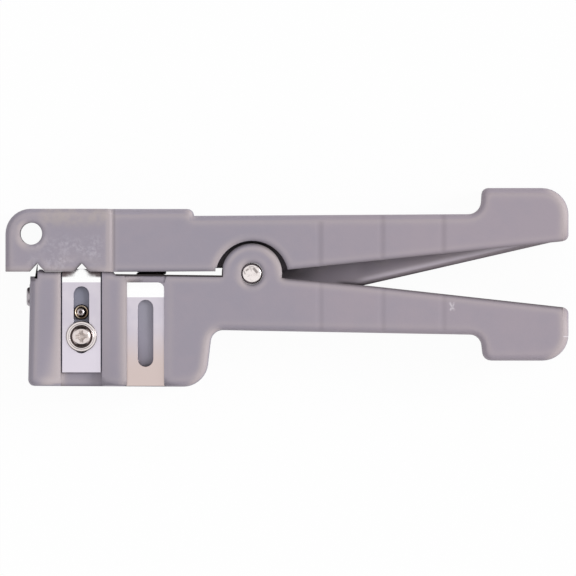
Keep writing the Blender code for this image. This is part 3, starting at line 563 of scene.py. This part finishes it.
def lower_details(paint, colour, east, north, height, upward):
    """Slot floors with painted shade and light, painted shadow along the jaw, painted shade in the
    recesses, a darker shoulder, and the scuffs of the lower handle
    """
    tone = LOWER_TONES
    # Painted shade on the ring slot's floor, painted light on the spare slot's floor, lightest towards -Y
    slots = (1 - paint.between(height, *SLOT_HEIGHT)) * (1 - paint.between(east, *SLOT_EAST))
    slots = slots * paint.between(north, *SLOT_NORTH) * upward
    spare_floor = paint.mix(paint.between(north, *SPARE_SLOT_NORTH), LOW_SPARE_FLOOR_LIGHT, SPARE_FLOOR_LIGHT)
    floor = paint.mix(paint.between(east, *SLOT_CHANGE_EAST), SLOT_FLOOR_SHADE, spare_floor)
    colour = paint.mix(slots * tone["slot"], colour, floor)
    worn = paint.between(paint.noise(GRAIN, 2.0), 0.30, 0.62)
    scuffs = paint.near_line(*SCRATCH_MARK) * tone["scratch"]
    for x, y, angle, half_length, half_width, worn_share, whole_share in SCUFF_MARKS:
        mark = paint.near_line(x, y, angle, half_length, half_width)
        scuffs = scuffs.most(mark * (worn * worn_share + whole_share))
    colour = paint.mix(scuffs, colour, SCUFF)
    # Painted shadow along the lower jaw's edge under the gap
    jaw = north + JAW_EDGE_DROP + (east - JAW_EDGE_START) * JAW_EDGE_SLOPE
    line = paint.between(jaw, *JAW_LINE_NORTH) * paint.band(east, *JAW_LINE_EAST, 0.0002)
    shoulder = paint.band(east, *SHOULDER_EAST, 0.0002) * paint.band(north, *SHOULDER_NORTH, 0.0003)
    # Painted shade on deep surfaces
    deep = 1 - paint.between(height, *LOWER_DEEP)
    shadow = (deep * tone["deep"]).most(line * tone["jaw line"])
    return colour, shadow.most(shoulder * tone["shoulder"])


def face_tint(paint, across):
    """Slow drift of the plastic's colour along the tool, with soft patches"""
    blotches = paint.noise(300.0, 3.0, 0.55)
    patches = paint.noise(60.0, 1.0)
    drift = paint.between(across, *DRIFT_ALONG)
    tint = drift * 0.8 + (patches - 0.5) * 0.9 + (blotches - 0.5) * 0.9 + 0.1
    return paint.mix(tint.most(0.0).least(1.0), LAVENDER_GREY, ROSE_GREY)


def moulded_plastic(name, upper):
    """Satin grey moulded plastic with soft edges, faint mottling and the wear of the photograph"""
    material, paint, shader = finish_of(name, {"Specular IOR Level": 0.35})
    across, up, height = paint.axes()
    east, north = across - PIVOT.x, up - PIVOT.y
    soft = paint.node("ShaderNodeBevel", {"samples": BEVEL_SAMPLES}, {"Radius": SOFT_RADIUS})
    wide = paint.node("ShaderNodeBevel", {"samples": BEVEL_SAMPLES}, {"Radius": WIDE_RADIUS})
    plain = paint.node("ShaderNodeNewGeometry", output="Normal")
    top_face = paint.between(paint.part(plain, 2), *FLAT_FACE)
    upward = paint.between(paint.part(plain, 2), *UPWARD_FACE)
    turn = paint.turned_by(wide, plain)
    # Painted highlight along a crest just inside each rounded edge, stronger on edges facing +Y
    crest = paint.between(turn, *CREST_RISE) * (1 - paint.between(turn, *CREST_FALL)) * top_face
    crest = crest * (paint.part(wide, 1) * 0.50 + 0.32)
    # Painted shade along crisp inner edges, strongest where they lean towards +Y
    lean = paint.part(soft, 1) - paint.part(plain, 1)
    crisp = ((lean - LEAN_LEAST) * 1.25).most((lean + LEAN_LEAST) * -0.35).most(0.0) * top_face

    colour = paint.mix(crest, face_tint(paint, across), EDGE_HIGHLIGHT)
    # Painted light on rounded edges that face the lamp
    lamp_side = paint.between(paint.part(wide, 0), *TOWARDS_LAMP) * upward
    colour = paint.mix(lamp_side * 0.7, colour, EDGE_HIGHLIGHT)
    grain = paint.noise(GRAIN, 2.0)
    if upper:
        colour, shadow, frost = upper_details(paint, colour, east, north, height)
        relief = grain + frost * 1.5
        crisp = crisp * paint.between(east, *CRISP_UPPER_EAST)
        inner = PIVOT.y + 0.00005 + east * INNER_EDGE_SLOPE
        marks = sink_marks(paint, across, up, inner + 0.0050, 0.0054)
        tone = UPPER_TONES["sink"]
        crisp_zone = paint.band(east, *CRISP_STEP_EAST, 0.0006)
    else:
        colour, shadow = lower_details(paint, colour, east, north, height, upward)
        relief = grain
        marks = sink_marks(paint, across, up, PIVOT.y - 0.0072, 0.0060)
        tone = LOWER_TONES["sink"]
        facing_left = paint.between(paint.part(plain, 0) - paint.part(soft, 0), 0.0, 0.08)
        crisp_zone = paint.band(east, *CRISP_LOWER_EAST, 0.0004) * paint.between(north, *CRISP_LOWER_NORTH)
        crisp_zone = crisp_zone * facing_left
    # Painted shade in hollows, creases and recesses, along crisp inner edges and in the sink marks
    colour = paint_in_shade(paint, colour, shadow.most(crisp).most(marks * tone))
    smooth = paint.node("ShaderNodeMix", {"data_type": "VECTOR"}, {0: crisp_zone, 4: soft, 5: plain}, 1)
    sunk = paint.bump(marks * -1.0, SINK_DEPTH, 1.0, smooth)
    paint.dress(shader, colour, 0.50 + grain * 0.12, paint.bump(relief, 0.00004, 0.35, sunk))
    return material


def blade_steel(name, edge_at, look, bevel_length):
    """Ground and polished strip steel, brighter on its bevel, with one of three looks

    A bright blade has the jaw's shade painted on below the jaw, an edge-on one has painted shade, black
    where its thin sides face up or down, and a warm one is tinted towards its foot and shaded along its
    edge.
    """
    material, paint, shader = finish_of(name, {})
    across, up, _ = paint.axes()
    below = edge_at - up
    bevel = 1 - paint.between(below, bevel_length - BEVEL_FADE, bevel_length + BEVEL_FADE)
    brushed = paint.noise(1400.0, 4.0, 0.6, (1.0, 0.05, 1.0))
    cloud = paint.noise(220.0, 2.0)
    face = paint.mix(paint.between(cloud, 0.35, 0.65), FACE_STEEL, FACE_STEEL_LIGHT)
    face = paint.mix(brushed * 0.25, face, FACE_STEEL_DARK)
    if look == "warm":
        warmth = paint.between(below + cloud * 0.004, 0.010, 0.022)
        face = paint.mix(warmth * 0.9, face, WARM_STEEL)
    else:
        face = paint.mix(paint.between(below, 0.0120, 0.0180) * 0.8, face, FOOT_STEEL)
    colour = paint.mix(bevel, face, WHITE)
    dulled_and_shaded = 1 - paint.between(below, *EDGE_DULL)
    thin_side_shade = 0.0
    level = None
    if look == "edge-on":
        # Painted shade: black where the thin sides face up or down
        facing = abs(paint.part(paint.node("ShaderNodeNewGeometry", output="Normal"), 2))
        thin_side_shade = paint.between(facing, 0.5, 0.8)
        colour = paint.mix(thin_side_shade, colour, THIN_SIDE_SHADE_STEEL)
        dulled_and_shaded = dulled_and_shaded.most(thin_side_shade)
    elif look == "bright":
        # Painted shade of the jaw over the bevel, from ambient occlusion
        reach = {"Distance": JAW_SHADE_REACH}
        open_above = paint.node("ShaderNodeAmbientOcclusion", {"samples": 12}, reach, 1)
        dulled_and_shaded = paint.between(1 - open_above, 0.02, 0.24) * paint.between(up, *JAW_SHADE_NORTH)
        from_middle = abs(across - RING_PLACE.x + JAW_SHADE_MIDDLE)
        dulled_and_shaded = dulled_and_shaded * paint.between(from_middle, *JAW_SHADE_SIDES)
        colour = paint.mix(dulled_and_shaded * 0.95, colour, JAW_SHADE)
    else:
        plain = paint.node("ShaderNodeNewGeometry", output="Normal")
        tilt = {0: dulled_and_shaded * bevel, 4: plain, 5: (0.0, -0.18, 0.98)}
        level = paint.node("ShaderNodeMix", {"data_type": "VECTOR"}, tilt, 1)
        dulled_and_shaded = 0.0
    paint.feed(shader.inputs["Metallic"], 1 - dulled_and_shaded * 0.75)
    roughness = 0.14 + brushed * 0.10 + (1 - bevel) * 0.12 + thin_side_shade * 0.35
    paint.dress(shader, colour, roughness, paint.bump(brushed, 0.000004, (1 - bevel) * 0.35, level))
    return material


def plated_steel(name, warm=0.4, dark=None, dull=0.0, matt=None):
    """Plating with tiny handling marks: dark with painted shade and marks where given, dull for grey and
    painted shade, and matt with painted light where given
    """
    material, paint, shader = finish_of(name, {"Metallic": 1.0})
    cloud = paint.noise(900.0, 3.0, 0.6)
    pits = paint.between(paint.noise(4200.0, 3.0, 0.7), 0.62, 0.75)
    colour = paint.mix(cloud * warm, PLATING, PLATING_WARM)
    colour = paint.mix(pits * 0.5, colour, PLATING_PIT)
    colour = paint.mix(dull, colour, PLATING_DULL_SHADED)
    if matt:
        lit_matt_share = matt(paint)
        colour = paint.mix(lit_matt_share, colour, PLATING_RECESS_LIGHT)
        paint.feed(shader.inputs["Metallic"], 1 - lit_matt_share)
    if dark:
        colour = paint.mix(dark(paint), colour, PLATING_SHADE_AND_MARKS)
    roughness = 0.12 + dull * 0.22 + cloud * 0.12 + pits * 0.2
    paint.dress(shader, colour, roughness, paint.bump(cloud - pits * 0.5, 0.00001, 0.25))
    return material


def station_axes(paint, kind, y):
    """Distance from a fastener's axis and height over its channel's floor"""
    across, up, height = paint.axes()
    if kind == "ring":
        return paint.distance(across - RING_PLACE.x, up - y), height - RING_PLACE.z
    return paint.distance(height - SLIT_PLACE.z, up - y), SLIT_PLACE.x - across


def turned_brass(name, centre):
    """Turned brass, a little tarnished, with painted shade darkest to the lower right of a centre"""
    material, paint, shader = finish_of(name, {"Metallic": 1.0})
    tarnish = paint.noise(1500.0, 3.0, 0.6)
    across, up, _ = paint.axes()
    # Painted shade towards the lower right
    lower_right_shade = paint.between((across - centre.x) - (up - centre.y), -0.0004, 0.0016)
    colour = paint.mix(paint.between(tarnish, 0.35, 0.8), BRASS, BRASS_TARNISH)
    colour = paint.mix(lower_right_shade * 0.8, colour, BRASS_SHADE)
    paint.dress(shader, colour, 0.24 + tarnish * 0.15, paint.bump(tarnish, 0.00001, 0.3))
    return material


def spring_steel(name):
    """Black wire with a film of oil"""
    material, paint, shader = finish_of(name, {"Metallic": 0.7})
    film = paint.noise(1800.0, 3.0, 0.6)
    colour = paint.mix(film, WIRE_BLACK, WIRE_BROWN)
    paint.dress(shader, colour, 0.28 + film * 0.2, paint.bump(film, 0.00001, 0.3))
    return material


def welded(node):
    """Copy of a CAD node's mesh with its loose triangles joined into whole faces"""
    shape = bmesh.new()
    shape.from_mesh(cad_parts[node].data)
    bmesh.ops.remove_doubles(shape, verts=shape.verts, dist=WELD)
    bmesh.ops.dissolve_limit(shape, angle_limit=FLAT, verts=shape.verts, edges=shape.edges)
    return shape


def soften(shape, width):
    """Round the sharp edges of a small piece"""
    paired = [edge for edge in shape.edges if len(edge.link_faces) == 2]
    sharp = [edge for edge in paired if edge.calc_face_angle() > ROUNDED_EDGE]
    bmesh.ops.bevel(shape, geom=sharp, offset=width, offset_type="OFFSET", affect="EDGES",
                    segments=1, profile=0.5, material=-1, clamp_overlap=True)


def put(shape, name, body, look, node=None):
    """Make a finished shape a piece that rides on a body and may stand for a CAD node"""
    mesh = bpy.data.meshes.new(name)
    shape.to_mesh(mesh)
    shape.free()
    mesh.shade_smooth()
    mesh.set_sharp_from_angle(angle=SOFT_EDGE)
    mesh.materials.append(look)
    for polygon in mesh.polygons:
        polygon.material_index = 0
    piece = bpy.data.objects.new(name, mesh)
    bpy.context.scene.collection.objects.link(piece)
    normals = piece.modifiers.new("flat faces", "WEIGHTED_NORMAL")
    normals.keep_sharp = True
    normals.weight = 100
    if body:
        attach(piece, body)
    if node:
        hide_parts(node)
    return piece


def spun(profile, steps, closed=False):
    """Spin a profile of (radius, height) points about Z"""
    shape = bmesh.new()
    points = [shape.verts.new((radius, 0.0, height)) for radius, height in profile]
    pairs = list(zip(points, points[1:]))
    if closed:
        pairs.append((points[-1], points[0]))
    edges = [shape.edges.new(pair) for pair in pairs]
    bmesh.ops.spin(shape, geom=points + edges, cent=(0.0, 0.0, 0.0), axis=(0.0, 0.0, 1.0),
                   angle=2 * math.pi, steps=steps, use_merge=True)
    bmesh.ops.remove_doubles(shape, verts=shape.verts, dist=WELD)
    bmesh.ops.dissolve_degenerate(shape, edges=shape.edges, dist=WELD)
    bmesh.ops.recalc_face_normals(shape, faces=shape.faces)
    return shape


def carved(shape, tools):
    """Cut closed tools out of a closed shape"""
    made = []
    for index, part in enumerate([shape] + tools):
        mesh = bpy.data.meshes.new(f"carving_{index}")
        part.to_mesh(mesh)
        part.free()
        made.append(bpy.data.objects.new(f"carving_{index}", mesh))
        bpy.context.scene.collection.objects.link(made[-1])
    for tool in made[1:]:
        change = made[0].modifiers.new("cut", "BOOLEAN")
        change.operation = "DIFFERENCE"
        change.solver = "EXACT"
        change.object = tool
    bpy.context.view_layer.update()
    evaluated = made[0].evaluated_get(bpy.context.evaluated_depsgraph_get())
    result = bmesh.new()
    result.from_mesh(evaluated.to_mesh())
    for piece in made:
        bpy.data.objects.remove(piece)
    bmesh.ops.remove_doubles(result, verts=result.verts, dist=WELD)
    return result


def tapered_tool(shape, depth, top, share):
    """Shape a unit tool into a recess cutter: full size at the top level, a share of it at the bottom"""
    above = depth * RECESS_ABOVE
    bmesh.ops.scale(shape, vec=(1.0, 1.0, depth + above), verts=shape.verts)
    bmesh.ops.translate(shape, vec=(0.0, 0.0, top + (above - depth) / 2), verts=shape.verts)
    for vert in shape.verts:
        sunk = (top - vert.co.z) / depth
        vert.co.x *= 1 - (1 - share[0]) * sunk
        vert.co.y *= 1 - (1 - share[1]) * sunk
    return shape


def recess_arm(top, turn):
    """Tool for one pair of arms of a cross recess"""
    shape = bmesh.new()
    bmesh.ops.create_cube(shape, size=1.0)
    bmesh.ops.scale(shape, vec=(RECESS_REACH, RECESS_ARM, 1.0), verts=shape.verts)
    tapered_tool(shape, RECESS_DEPTH, top, RECESS_ARM_FOOT)
    bmesh.ops.rotate(shape, cent=(0.0, 0.0, 0.0), matrix=Matrix.Rotation(turn, 3, "Z"),
                     verts=shape.verts)
    return shape


def round_tool(radius, depth, top, sides, share):
    """Tool for the middle of a recess or for a socket"""
    shape = bmesh.new()
    bmesh.ops.create_cone(shape, cap_ends=True, segments=sides, radius1=radius, radius2=radius,
                          depth=1.0)
    return tapered_tool(shape, depth, top, (share, share))


def upper_moulding():
    """Upper moulding, its jaw closed on the lower one"""
    shape = welded("upper_body")
    for vert in shape.verts:
        if vert.co.x < CLOSING_END and abs(vert.co.y - HEAD_LOWER_EDGE) < HEAD_EDGE_NEAR:
            share = min(1.0, (CLOSING_END - vert.co.x) / (CLOSING_END - HEAD_RIGHT))
            vert.co.y -= HEAD_CLOSING * share
    put(shape, "upper_moulding", "upper", moulded_plastic("upper_plastic", True),
        "upper_body")


def lower_moulding():
    """Lower moulding, its pads closed on the upper jaw and its walls on the slitting blade"""
    shape = welded("lower_body")
    for vert in shape.verts:
        if vert.co.x < HEAD_RIGHT and abs(vert.co.y - PAD_TOP) < NEAR:
            vert.co.y += PAD_CLOSING
        for wall, way in zip(SIGHT_WALLS, (1.0, -1.0)):
            if abs(vert.co.x - wall) < NEAR and vert.co.y > SIGHT_FLOOR - NEAR:
                vert.co.x += way * SIGHT_CLOSING
                if vert.co.y > REST_TOP:
                    vert.co.y -= REST_SLOPE
    put(shape, "lower_moulding", "lower", moulded_plastic("lower_plastic", False),
        "lower_body")


def blades():
    """Three blades with their edges broken by the grinder"""
    for node, look, bevel_length in BLADES:
        edge_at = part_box(node)[1].y
        shape = welded(node)
        soften(shape, BROKEN_EDGE)
        put(shape, f"{node}_ground", node, blade_steel(f"{node}_steel", edge_at, look, bevel_length),
            node)


def seat(shape, kind, y, shift=0.0):
    """Carry a fastener from the origin to its place on a blade"""
    bmesh.ops.translate(shape, vec=(shift, y, 0.0), verts=shape.verts)
    bmesh.ops.transform(shape, matrix=STATIONS[kind], verts=shape.verts)


def clamp_screw(kind):
    """Pan head screw with a cross recess and a coarse plain thread"""
    height = HEAD_TOP - HEAD_UNDER
    profile = [(HEAD_RADIUS * out, HEAD_UNDER + height * up) for out, up in HEAD_CROWN]
    profile += [(SHANK_RADIUS, HEAD_UNDER)]
    for turn in range(THREAD_TURNS):
        level = HEAD_UNDER - THREAD_GAP - turn * THREAD_PITCH
        profile += [(SHANK_RADIUS, level), (SHANK_RADIUS - THREAD_DEPTH, level - THREAD_PITCH / 2)]
    profile += [(SHANK_RADIUS * SCREW_POINT, SCREW_END), (0.0, SCREW_END)]
    arms = [recess_arm(HEAD_TOP, RECESS_TURN[kind] + quarter) for quarter in (0.0, math.pi / 2)]
    middle = round_tool(RECESS_ARM * 1.15, RECESS_DEPTH * 1.1, HEAD_TOP, 16, 0.45)
    shape = carved(spun(profile, 48), arms + [middle])
    seat(shape, kind, CLAMP_Y[kind])
    axis_y = PIVOT.y + CLAMP_Y[kind]

    # Painted light: the cross recess is coloured matt and lighter against its shade
    def recess(paint):
        radius, level = station_axes(paint, kind, axis_y)
        inside = 1 - paint.between(radius, *RECESS_EDGE)
        return inside * (1 - paint.between(level, HEAD_TOP - 0.00024, HEAD_TOP - 0.00008))

    # Painted shade: in the recess walls, round the head's side and at its top and bottom ends, and at the
    # far end of the slit screw's head
    def head_shade(paint):
        off_centre = paint.axes()[1] - PIVOT.y - CLAMP_Y[kind]
        if kind == "slit":
            return paint.between(off_centre, *HEAD_FAR_END) * 0.35
        radius, level = station_axes(paint, kind, axis_y)
        normal = paint.node("ShaderNodeNewGeometry", output="Normal")
        facing = abs(paint.part(normal, FACING_AXIS[kind]))
        walls = recess(paint) * (1 - paint.between(facing, 0.30, 0.60)) * 0.5
        side = 1 - paint.between(level, HEAD_UNDER + 0.0002, HEAD_UNDER + 0.0005)
        ends = paint.between(abs(off_centre), *HEAD_ENDS)
        return walls.most(side * 0.9).most(ends * 0.92)

    put(shape, f"{kind}_screw_turned", f"{kind}_screw",
        plated_steel(f"{kind}_screw_plating", 0.9, head_shade, DULLING_AND_SHADE[kind], recess),
        f"{kind}_clamp_screw")


def cup_washer(kind):
    """Pressed cup washer: a broad rolled ring with a fine groove, and a floor under the screw head"""
    hole, rim, top = SHANK_RADIUS + SHANK_ROOM, WASHER_RADIUS, WASHER_TOP
    profile = [
        (hole, WASHER_BASE), (rim - 0.00006, WASHER_BASE), (rim, WASHER_BASE + 0.00006),
        (rim, top - 0.00034), (rim - 0.00003, top - 0.00022), (rim - 0.00012, top - 0.00014),
        (rim - 0.00026, top - 0.00012), (0.00296, top - 0.00010), (0.00288, top - 0.00013),
        (0.00284, top - 0.00004), (0.00278, top - 0.00001), (0.00262, top - 0.00001),
        (0.00254, top - 0.00006), (CUP_RADIUS + 0.00003, top - 0.00022),
        (CUP_RADIUS, top - 0.00040), (CUP_RADIUS - 0.00003, WASHER_BASE + 0.00040),
        (hole, WASHER_BASE + 0.00036),
    ]
    shape = spun(profile, 64, closed=True)
    seat(shape, kind, CLAMP_Y[kind])

    # Painted shade in the cup under the head, along the fine groove and on the rolled rim
    def cup_shade(paint):
        radius, _ = station_axes(paint, kind, PIVOT.y + CLAMP_Y[kind])
        inside = 1 - paint.between(radius, CUP_RADIUS, CUP_RADIUS + 0.00006)
        groove = 1 - paint.between(abs(radius - GROOVE_RADIUS), 0.00004, 0.00010)
        rolled = paint.between(radius, WASHER_RADIUS - 0.00024, WASHER_RADIUS - 0.00014)
        return (inside * 0.95).most(groove * 0.34).most(rolled * 0.62)

    put(shape, f"{kind}_washer_pressed", f"{kind}_washer",
        plated_steel(f"{kind}_washer_plating", 0.5, cup_shade, DULLING_AND_SHADE[kind]),
        f"{kind}_cup_washer")


def guide_bush(kind):
    """Brass bush with a rounded mouth, a little wider than its plain solid, so it fills the slot"""
    profile = [
        (BUSH_OUTER, BUSH_END), (BUSH_OUTER, BUSH_TOP - 0.00012),
        (BUSH_OUTER - 0.00004, BUSH_TOP - 0.00004), (BUSH_OUTER - 0.00008, BUSH_TOP),
        (BUSH_INNER + 0.00012, BUSH_TOP - 0.00002), (BUSH_INNER + 0.00004, BUSH_TOP - 0.00010),
        (BUSH_INNER, BUSH_TOP - 0.00022), (BUSH_INNER, BUSH_END),
    ]
    shape = spun(profile, 48, closed=True)
    seat(shape, kind, GUIDE_Y[kind])
    centre = STATIONS[kind] @ Vector((0.0, GUIDE_Y[kind], 0.0))
    put(shape, f"{kind}_bush_turned", "lower", turned_brass(f"{kind}_bush_brass", centre),
        f"{kind}_guide_bush")


def set_screw(kind):
    """Small set screw with a socket in a rounded end"""
    top = SET_SCREW_TOP
    profile = [
        (0.0, top), (0.00040, top - 0.00002), (0.00065, top - 0.00008), (0.00083, top - 0.00019),
        (0.00094, top - 0.00034), (SET_SCREW_RADIUS, top - 0.00055),
        (SET_SCREW_RADIUS, SET_SCREW_END), (0.0, SET_SCREW_END),
    ]
    shape = carved(spun(profile, 40), [round_tool(SOCKET_RADIUS, SOCKET_DEPTH, top, 6, 0.8)])
    seat(shape, kind, GUIDE_Y[kind], SET_SCREW_SHIFT)

    # Painted shade in the socket and on the screw's side below its rounded end
    def socket_shade(paint):
        radius, level = station_axes(paint, kind, PIVOT.y + GUIDE_Y[kind])
        inside = 1 - paint.between(radius, SOCKET_RADIUS + 0.00004, SOCKET_RADIUS + 0.00010)
        sunk = 1 - paint.between(level, top - 0.0002, top - 0.0001)
        skirt = 1 - paint.between(level, top - 0.00045, top - 0.00025)
        return (inside * sunk).most(skirt) * 0.9

    put(shape, f"{kind}_set_screw", "lower",
        plated_steel(f"{kind}_set_screw_plating", 1.0, socket_shade, 0.65),
        f"{kind}_guide_screw")


def inserts():
    """Threaded sleeves under the clamp screws, with their edges broken"""
    for kind in ("ring", "slit"):
        shape = welded(f"{kind}_clamp_insert")
        soften(shape, INSERT_EDGE)
        brass = turned_brass(f"{kind}_insert_brass", RING_PLACE - PIVOT)
        put(shape, f"{kind}_insert_turned", "lower", brass, f"{kind}_clamp_insert")


def pivot_pin():
    """Steel pin, both ends peened: a low crown with hammer dents; a wider waist fills the bore"""
    low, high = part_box("pivot_pin")
    radius = (high.x - low.x) / 2
    front = [(radius * out, high.z - drop) for out, drop in PIN_CROWN]
    back = [(radius * out, low.z + drop) for out, drop in reversed(PIN_CROWN)]
    waist = [(radius, high.z - PIN_END), (PIN_WAIST, high.z - PIN_END - PIN_WAIST_SLOPE),
             (PIN_WAIST, low.z + PIN_END + PIN_WAIST_SLOPE), (radius, low.z + PIN_END)]
    shape = spun(front + waist + back, 72)
    for vert in shape.verts:
        if math.hypot(vert.co.x, vert.co.y) > radius * 0.95:
            continue
        side = 1.0 if vert.co.z > (low.z + high.z) / 2 else -1.0
        for x, y, spread, depth in PIN_DENTS:
            gap = math.hypot(vert.co.x - x * side, vert.co.y - y)
            vert.co.z -= side * depth * math.exp(-(gap / spread) ** 2)
    bmesh.ops.translate(shape, vec=(PIVOT.x, PIVOT.y, 0.0), verts=shape.verts)

    def rim_shade_and_patches(paint):
        across, up, _ = paint.axes()
        from_axis = paint.distance(across - PIVOT.x, up - PIVOT.y)
        # Painted shade round the pin's rim
        rim = paint.between(from_axis, radius * 0.975, radius * 0.995)
        # Grey patches, more in the upper half
        grey_patches = paint.between(paint.noise(1300.0, 3.0, 0.6), 0.50, 0.62)
        upper_half = paint.between(up - PIVOT.y, -0.0006, 0.0008)
        # Peening marks with painted reflections of their dents
        pressed = 0.0
        for x, y, angle, half_length, half_width, depth in PIN_MARKS:
            mark = paint.near_line(PIVOT.x + x, PIVOT.y + y, angle, half_length, half_width)
            pressed = (mark * depth).most(pressed)
        return (rim * 0.6).most(grey_patches * (0.10 + upper_half * 0.22)).most(pressed)

    put(shape, "pivot_pin_peened", "lower", plated_steel("pivot_plating", 0.35, rim_shade_and_patches),
        "pivot_pin")


def cross_pins():
    """Steel pins across the two mouldings, which hold the spring's hooks"""
    for node, body in (("upper_spring_pin", "upper"), ("lower_spring_pin", "lower")):
        low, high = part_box(node)
        radius = (high.x - low.x) / 2
        profile = [(0.0, high.z), (radius - PIN_EDGE, high.z), (radius, high.z - PIN_EDGE),
                   (radius, low.z + PIN_EDGE), (radius - PIN_EDGE, low.z), (0.0, low.z)]
        shape = spun(profile, 32)
        centre = (low + high) / 2
        bmesh.ops.translate(shape, vec=(centre.x, centre.y, 0.0), verts=shape.verts)
        put(shape, f"{node}_turned", body, plated_steel(f"{node}_plating"), node)


def spring_hook(coil_end, way):
    """Run of the wire from one end of the coil round its cross pin"""
    pin = coil_end + way * HOOK_REACH
    neck = (pin - way * HOOK_RADIUS + coil_end) / 2
    run = [Vector((SPRING_RADIUS * 0.72, (coil_end + neck) / 2, 0.0)),
           Vector((SPRING_RADIUS * 0.28, neck, 0.0))]
    for index in range(HOOK_STEPS + 1):
        angle = -way * (math.pi / 2 + HOOK_SWEEP * index / HOOK_STEPS)
        run.append(Vector((HOOK_RADIUS * math.cos(angle), pin + HOOK_RADIUS * math.sin(angle), 0.0)))
    return run


def jaw_spring():
    """Close-wound tension spring, one hook on each cross pin"""
    coil = []
    for index in range(SPRING_TURNS * TURN_POINTS + 1):
        angle = 2 * math.pi * index / TURN_POINTS
        rise = SPRING_BOTTOM + (SPRING_TOP - SPRING_BOTTOM) * index / (SPRING_TURNS * TURN_POINTS)
        coil.append(Vector((SPRING_RADIUS * math.cos(angle), rise, -SPRING_RADIUS * math.sin(angle))))
    path = spring_hook(SPRING_BOTTOM, -1.0)[::-1] + coil + spring_hook(SPRING_TOP, 1.0)
    curve = bpy.data.curves.new("spring_wire", "CURVE")
    curve.dimensions = "3D"
    curve.bevel_depth = WIRE
    curve.bevel_resolution = 3
    curve.use_fill_caps = True
    spline = curve.splines.new("POLY")
    spline.points.add(len(path) - 1)
    for point, spot in zip(spline.points, path):
        point.co = (*(spot + SPRING_PLACE), 1.0)
    line = bpy.data.objects.new("spring_wire", curve)
    bpy.context.scene.collection.objects.link(line)
    bpy.context.view_layer.update()
    shape = bmesh.new()
    shape.from_mesh(line.evaluated_get(bpy.context.evaluated_depsgraph_get()).to_mesh())
    bpy.data.objects.remove(line)
    bmesh.ops.remove_doubles(shape, verts=shape.verts, dist=WELD)
    bmesh.ops.recalc_face_normals(shape, faces=shape.faces)
    piece = put(shape, "jaw_spring_coil", None, spring_steel("spring_wire_black"),
                "jaw_spring")
    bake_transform(piece)


def is_ray(paint, kind):
    """1 for rays of one kind"""
    return paint.node("ShaderNodeLightPath", output=f"Is {kind} Ray")


def table():
    """Pale table that shows white and keeps the tool's shadow"""
    mesh = bpy.data.meshes.new("table")
    shape = bmesh.new()
    bmesh.ops.create_grid(shape, x_segments=1, y_segments=1, size=TABLE_HALF)
    bmesh.ops.translate(shape, vec=(0.0, 0.0, -TABLE_DROP), verts=shape.verts)
    shape.to_mesh(mesh)
    shape.free()
    made = bpy.data.objects.new("table", mesh)
    bpy.context.scene.collection.objects.link(made)
    material = bpy.data.materials.new("table_white")
    material.use_nodes = True
    tree = material.node_tree
    tree.nodes.clear()
    paint = Paint(tree)
    seen = is_ray(paint, "Camera").most(is_ray(paint, "Glossy")).most(is_ray(paint, "Transmission"))
    matt = paint.node("ShaderNodeBsdfDiffuse", None, {"Color": TABLE_MATT})
    glow = paint.node("ShaderNodeEmission", None, {"Color": WHITE, "Strength": 1.0})
    mixed = paint.node("ShaderNodeMixShader", None, {0: seen * TABLE_GLOW, 1: matt, 2: glow})
    out = tree.nodes.new("ShaderNodeOutputMaterial")
    tree.links.new(mixed.socket, out.inputs["Surface"])
    mesh.materials.append(material)


def surround():
    """White surround that metal shows with two dark ends"""
    world = bpy.data.worlds.new("studio")
    bpy.context.scene.world = world
    world.use_nodes = True
    paint = Paint(world.node_tree)
    way = paint.node("ShaderNodeTexCoord", output="Generated")
    ends = paint.between(abs(paint.part(way, 1)), *DARK_END_FADE)
    mirrored = paint.mix(ends, WHITE, DARK_END)
    colour = paint.mix(is_ray(paint, "Glossy"), AMBIENT, mirrored)
    colour = paint.mix(is_ray(paint, "Camera"), colour, WHITE)
    paint.feed(world.node_tree.nodes["Background"].inputs["Color"], colour)


def lamp():
    """One soft lamp from the right"""
    made = bpy.data.lights.new("soft_lamp", "SUN")
    made.energy = LAMP_ENERGY
    made.angle = LAMP_ANGLE
    light = bpy.data.objects.new("soft_lamp", made)
    bpy.context.scene.collection.objects.link(light)
    level = math.cos(LAMP_RISE)
    towards = Vector((level * math.cos(LAMP_TURN), level * math.sin(LAMP_TURN), math.sin(LAMP_RISE)))
    light.rotation_mode = "QUATERNION"
    light.rotation_quaternion = towards.to_track_quat("Z", "Y")


def camera():
    """Long lens straight above, framed as the photograph is"""
    made = bpy.data.cameras.new("camera")
    made.sensor_width = SENSOR
    made.lens = LENS
    eye = bpy.data.objects.new("camera", made)
    bpy.context.scene.collection.objects.link(eye)
    distance = HALF_WIDTH * made.lens / (made.sensor_width / 2)
    eye.location = (EYE_EAST, EYE_NORTH, BODY_FRONT + distance)
    made.clip_end = distance * CLIP_SHARE
    bpy.context.scene.camera = eye


camera()
table()
surround()
lamp()
upper_moulding()
lower_moulding()
blades()
for kind in ("ring", "slit"):
    clamp_screw(kind)
    cup_washer(kind)
    guide_bush(kind)
    set_screw(kind)
inserts()
pivot_pin()
cross_pins()
jaw_spring()

bpy.context.scene.view_settings.view_transform = "Standard"
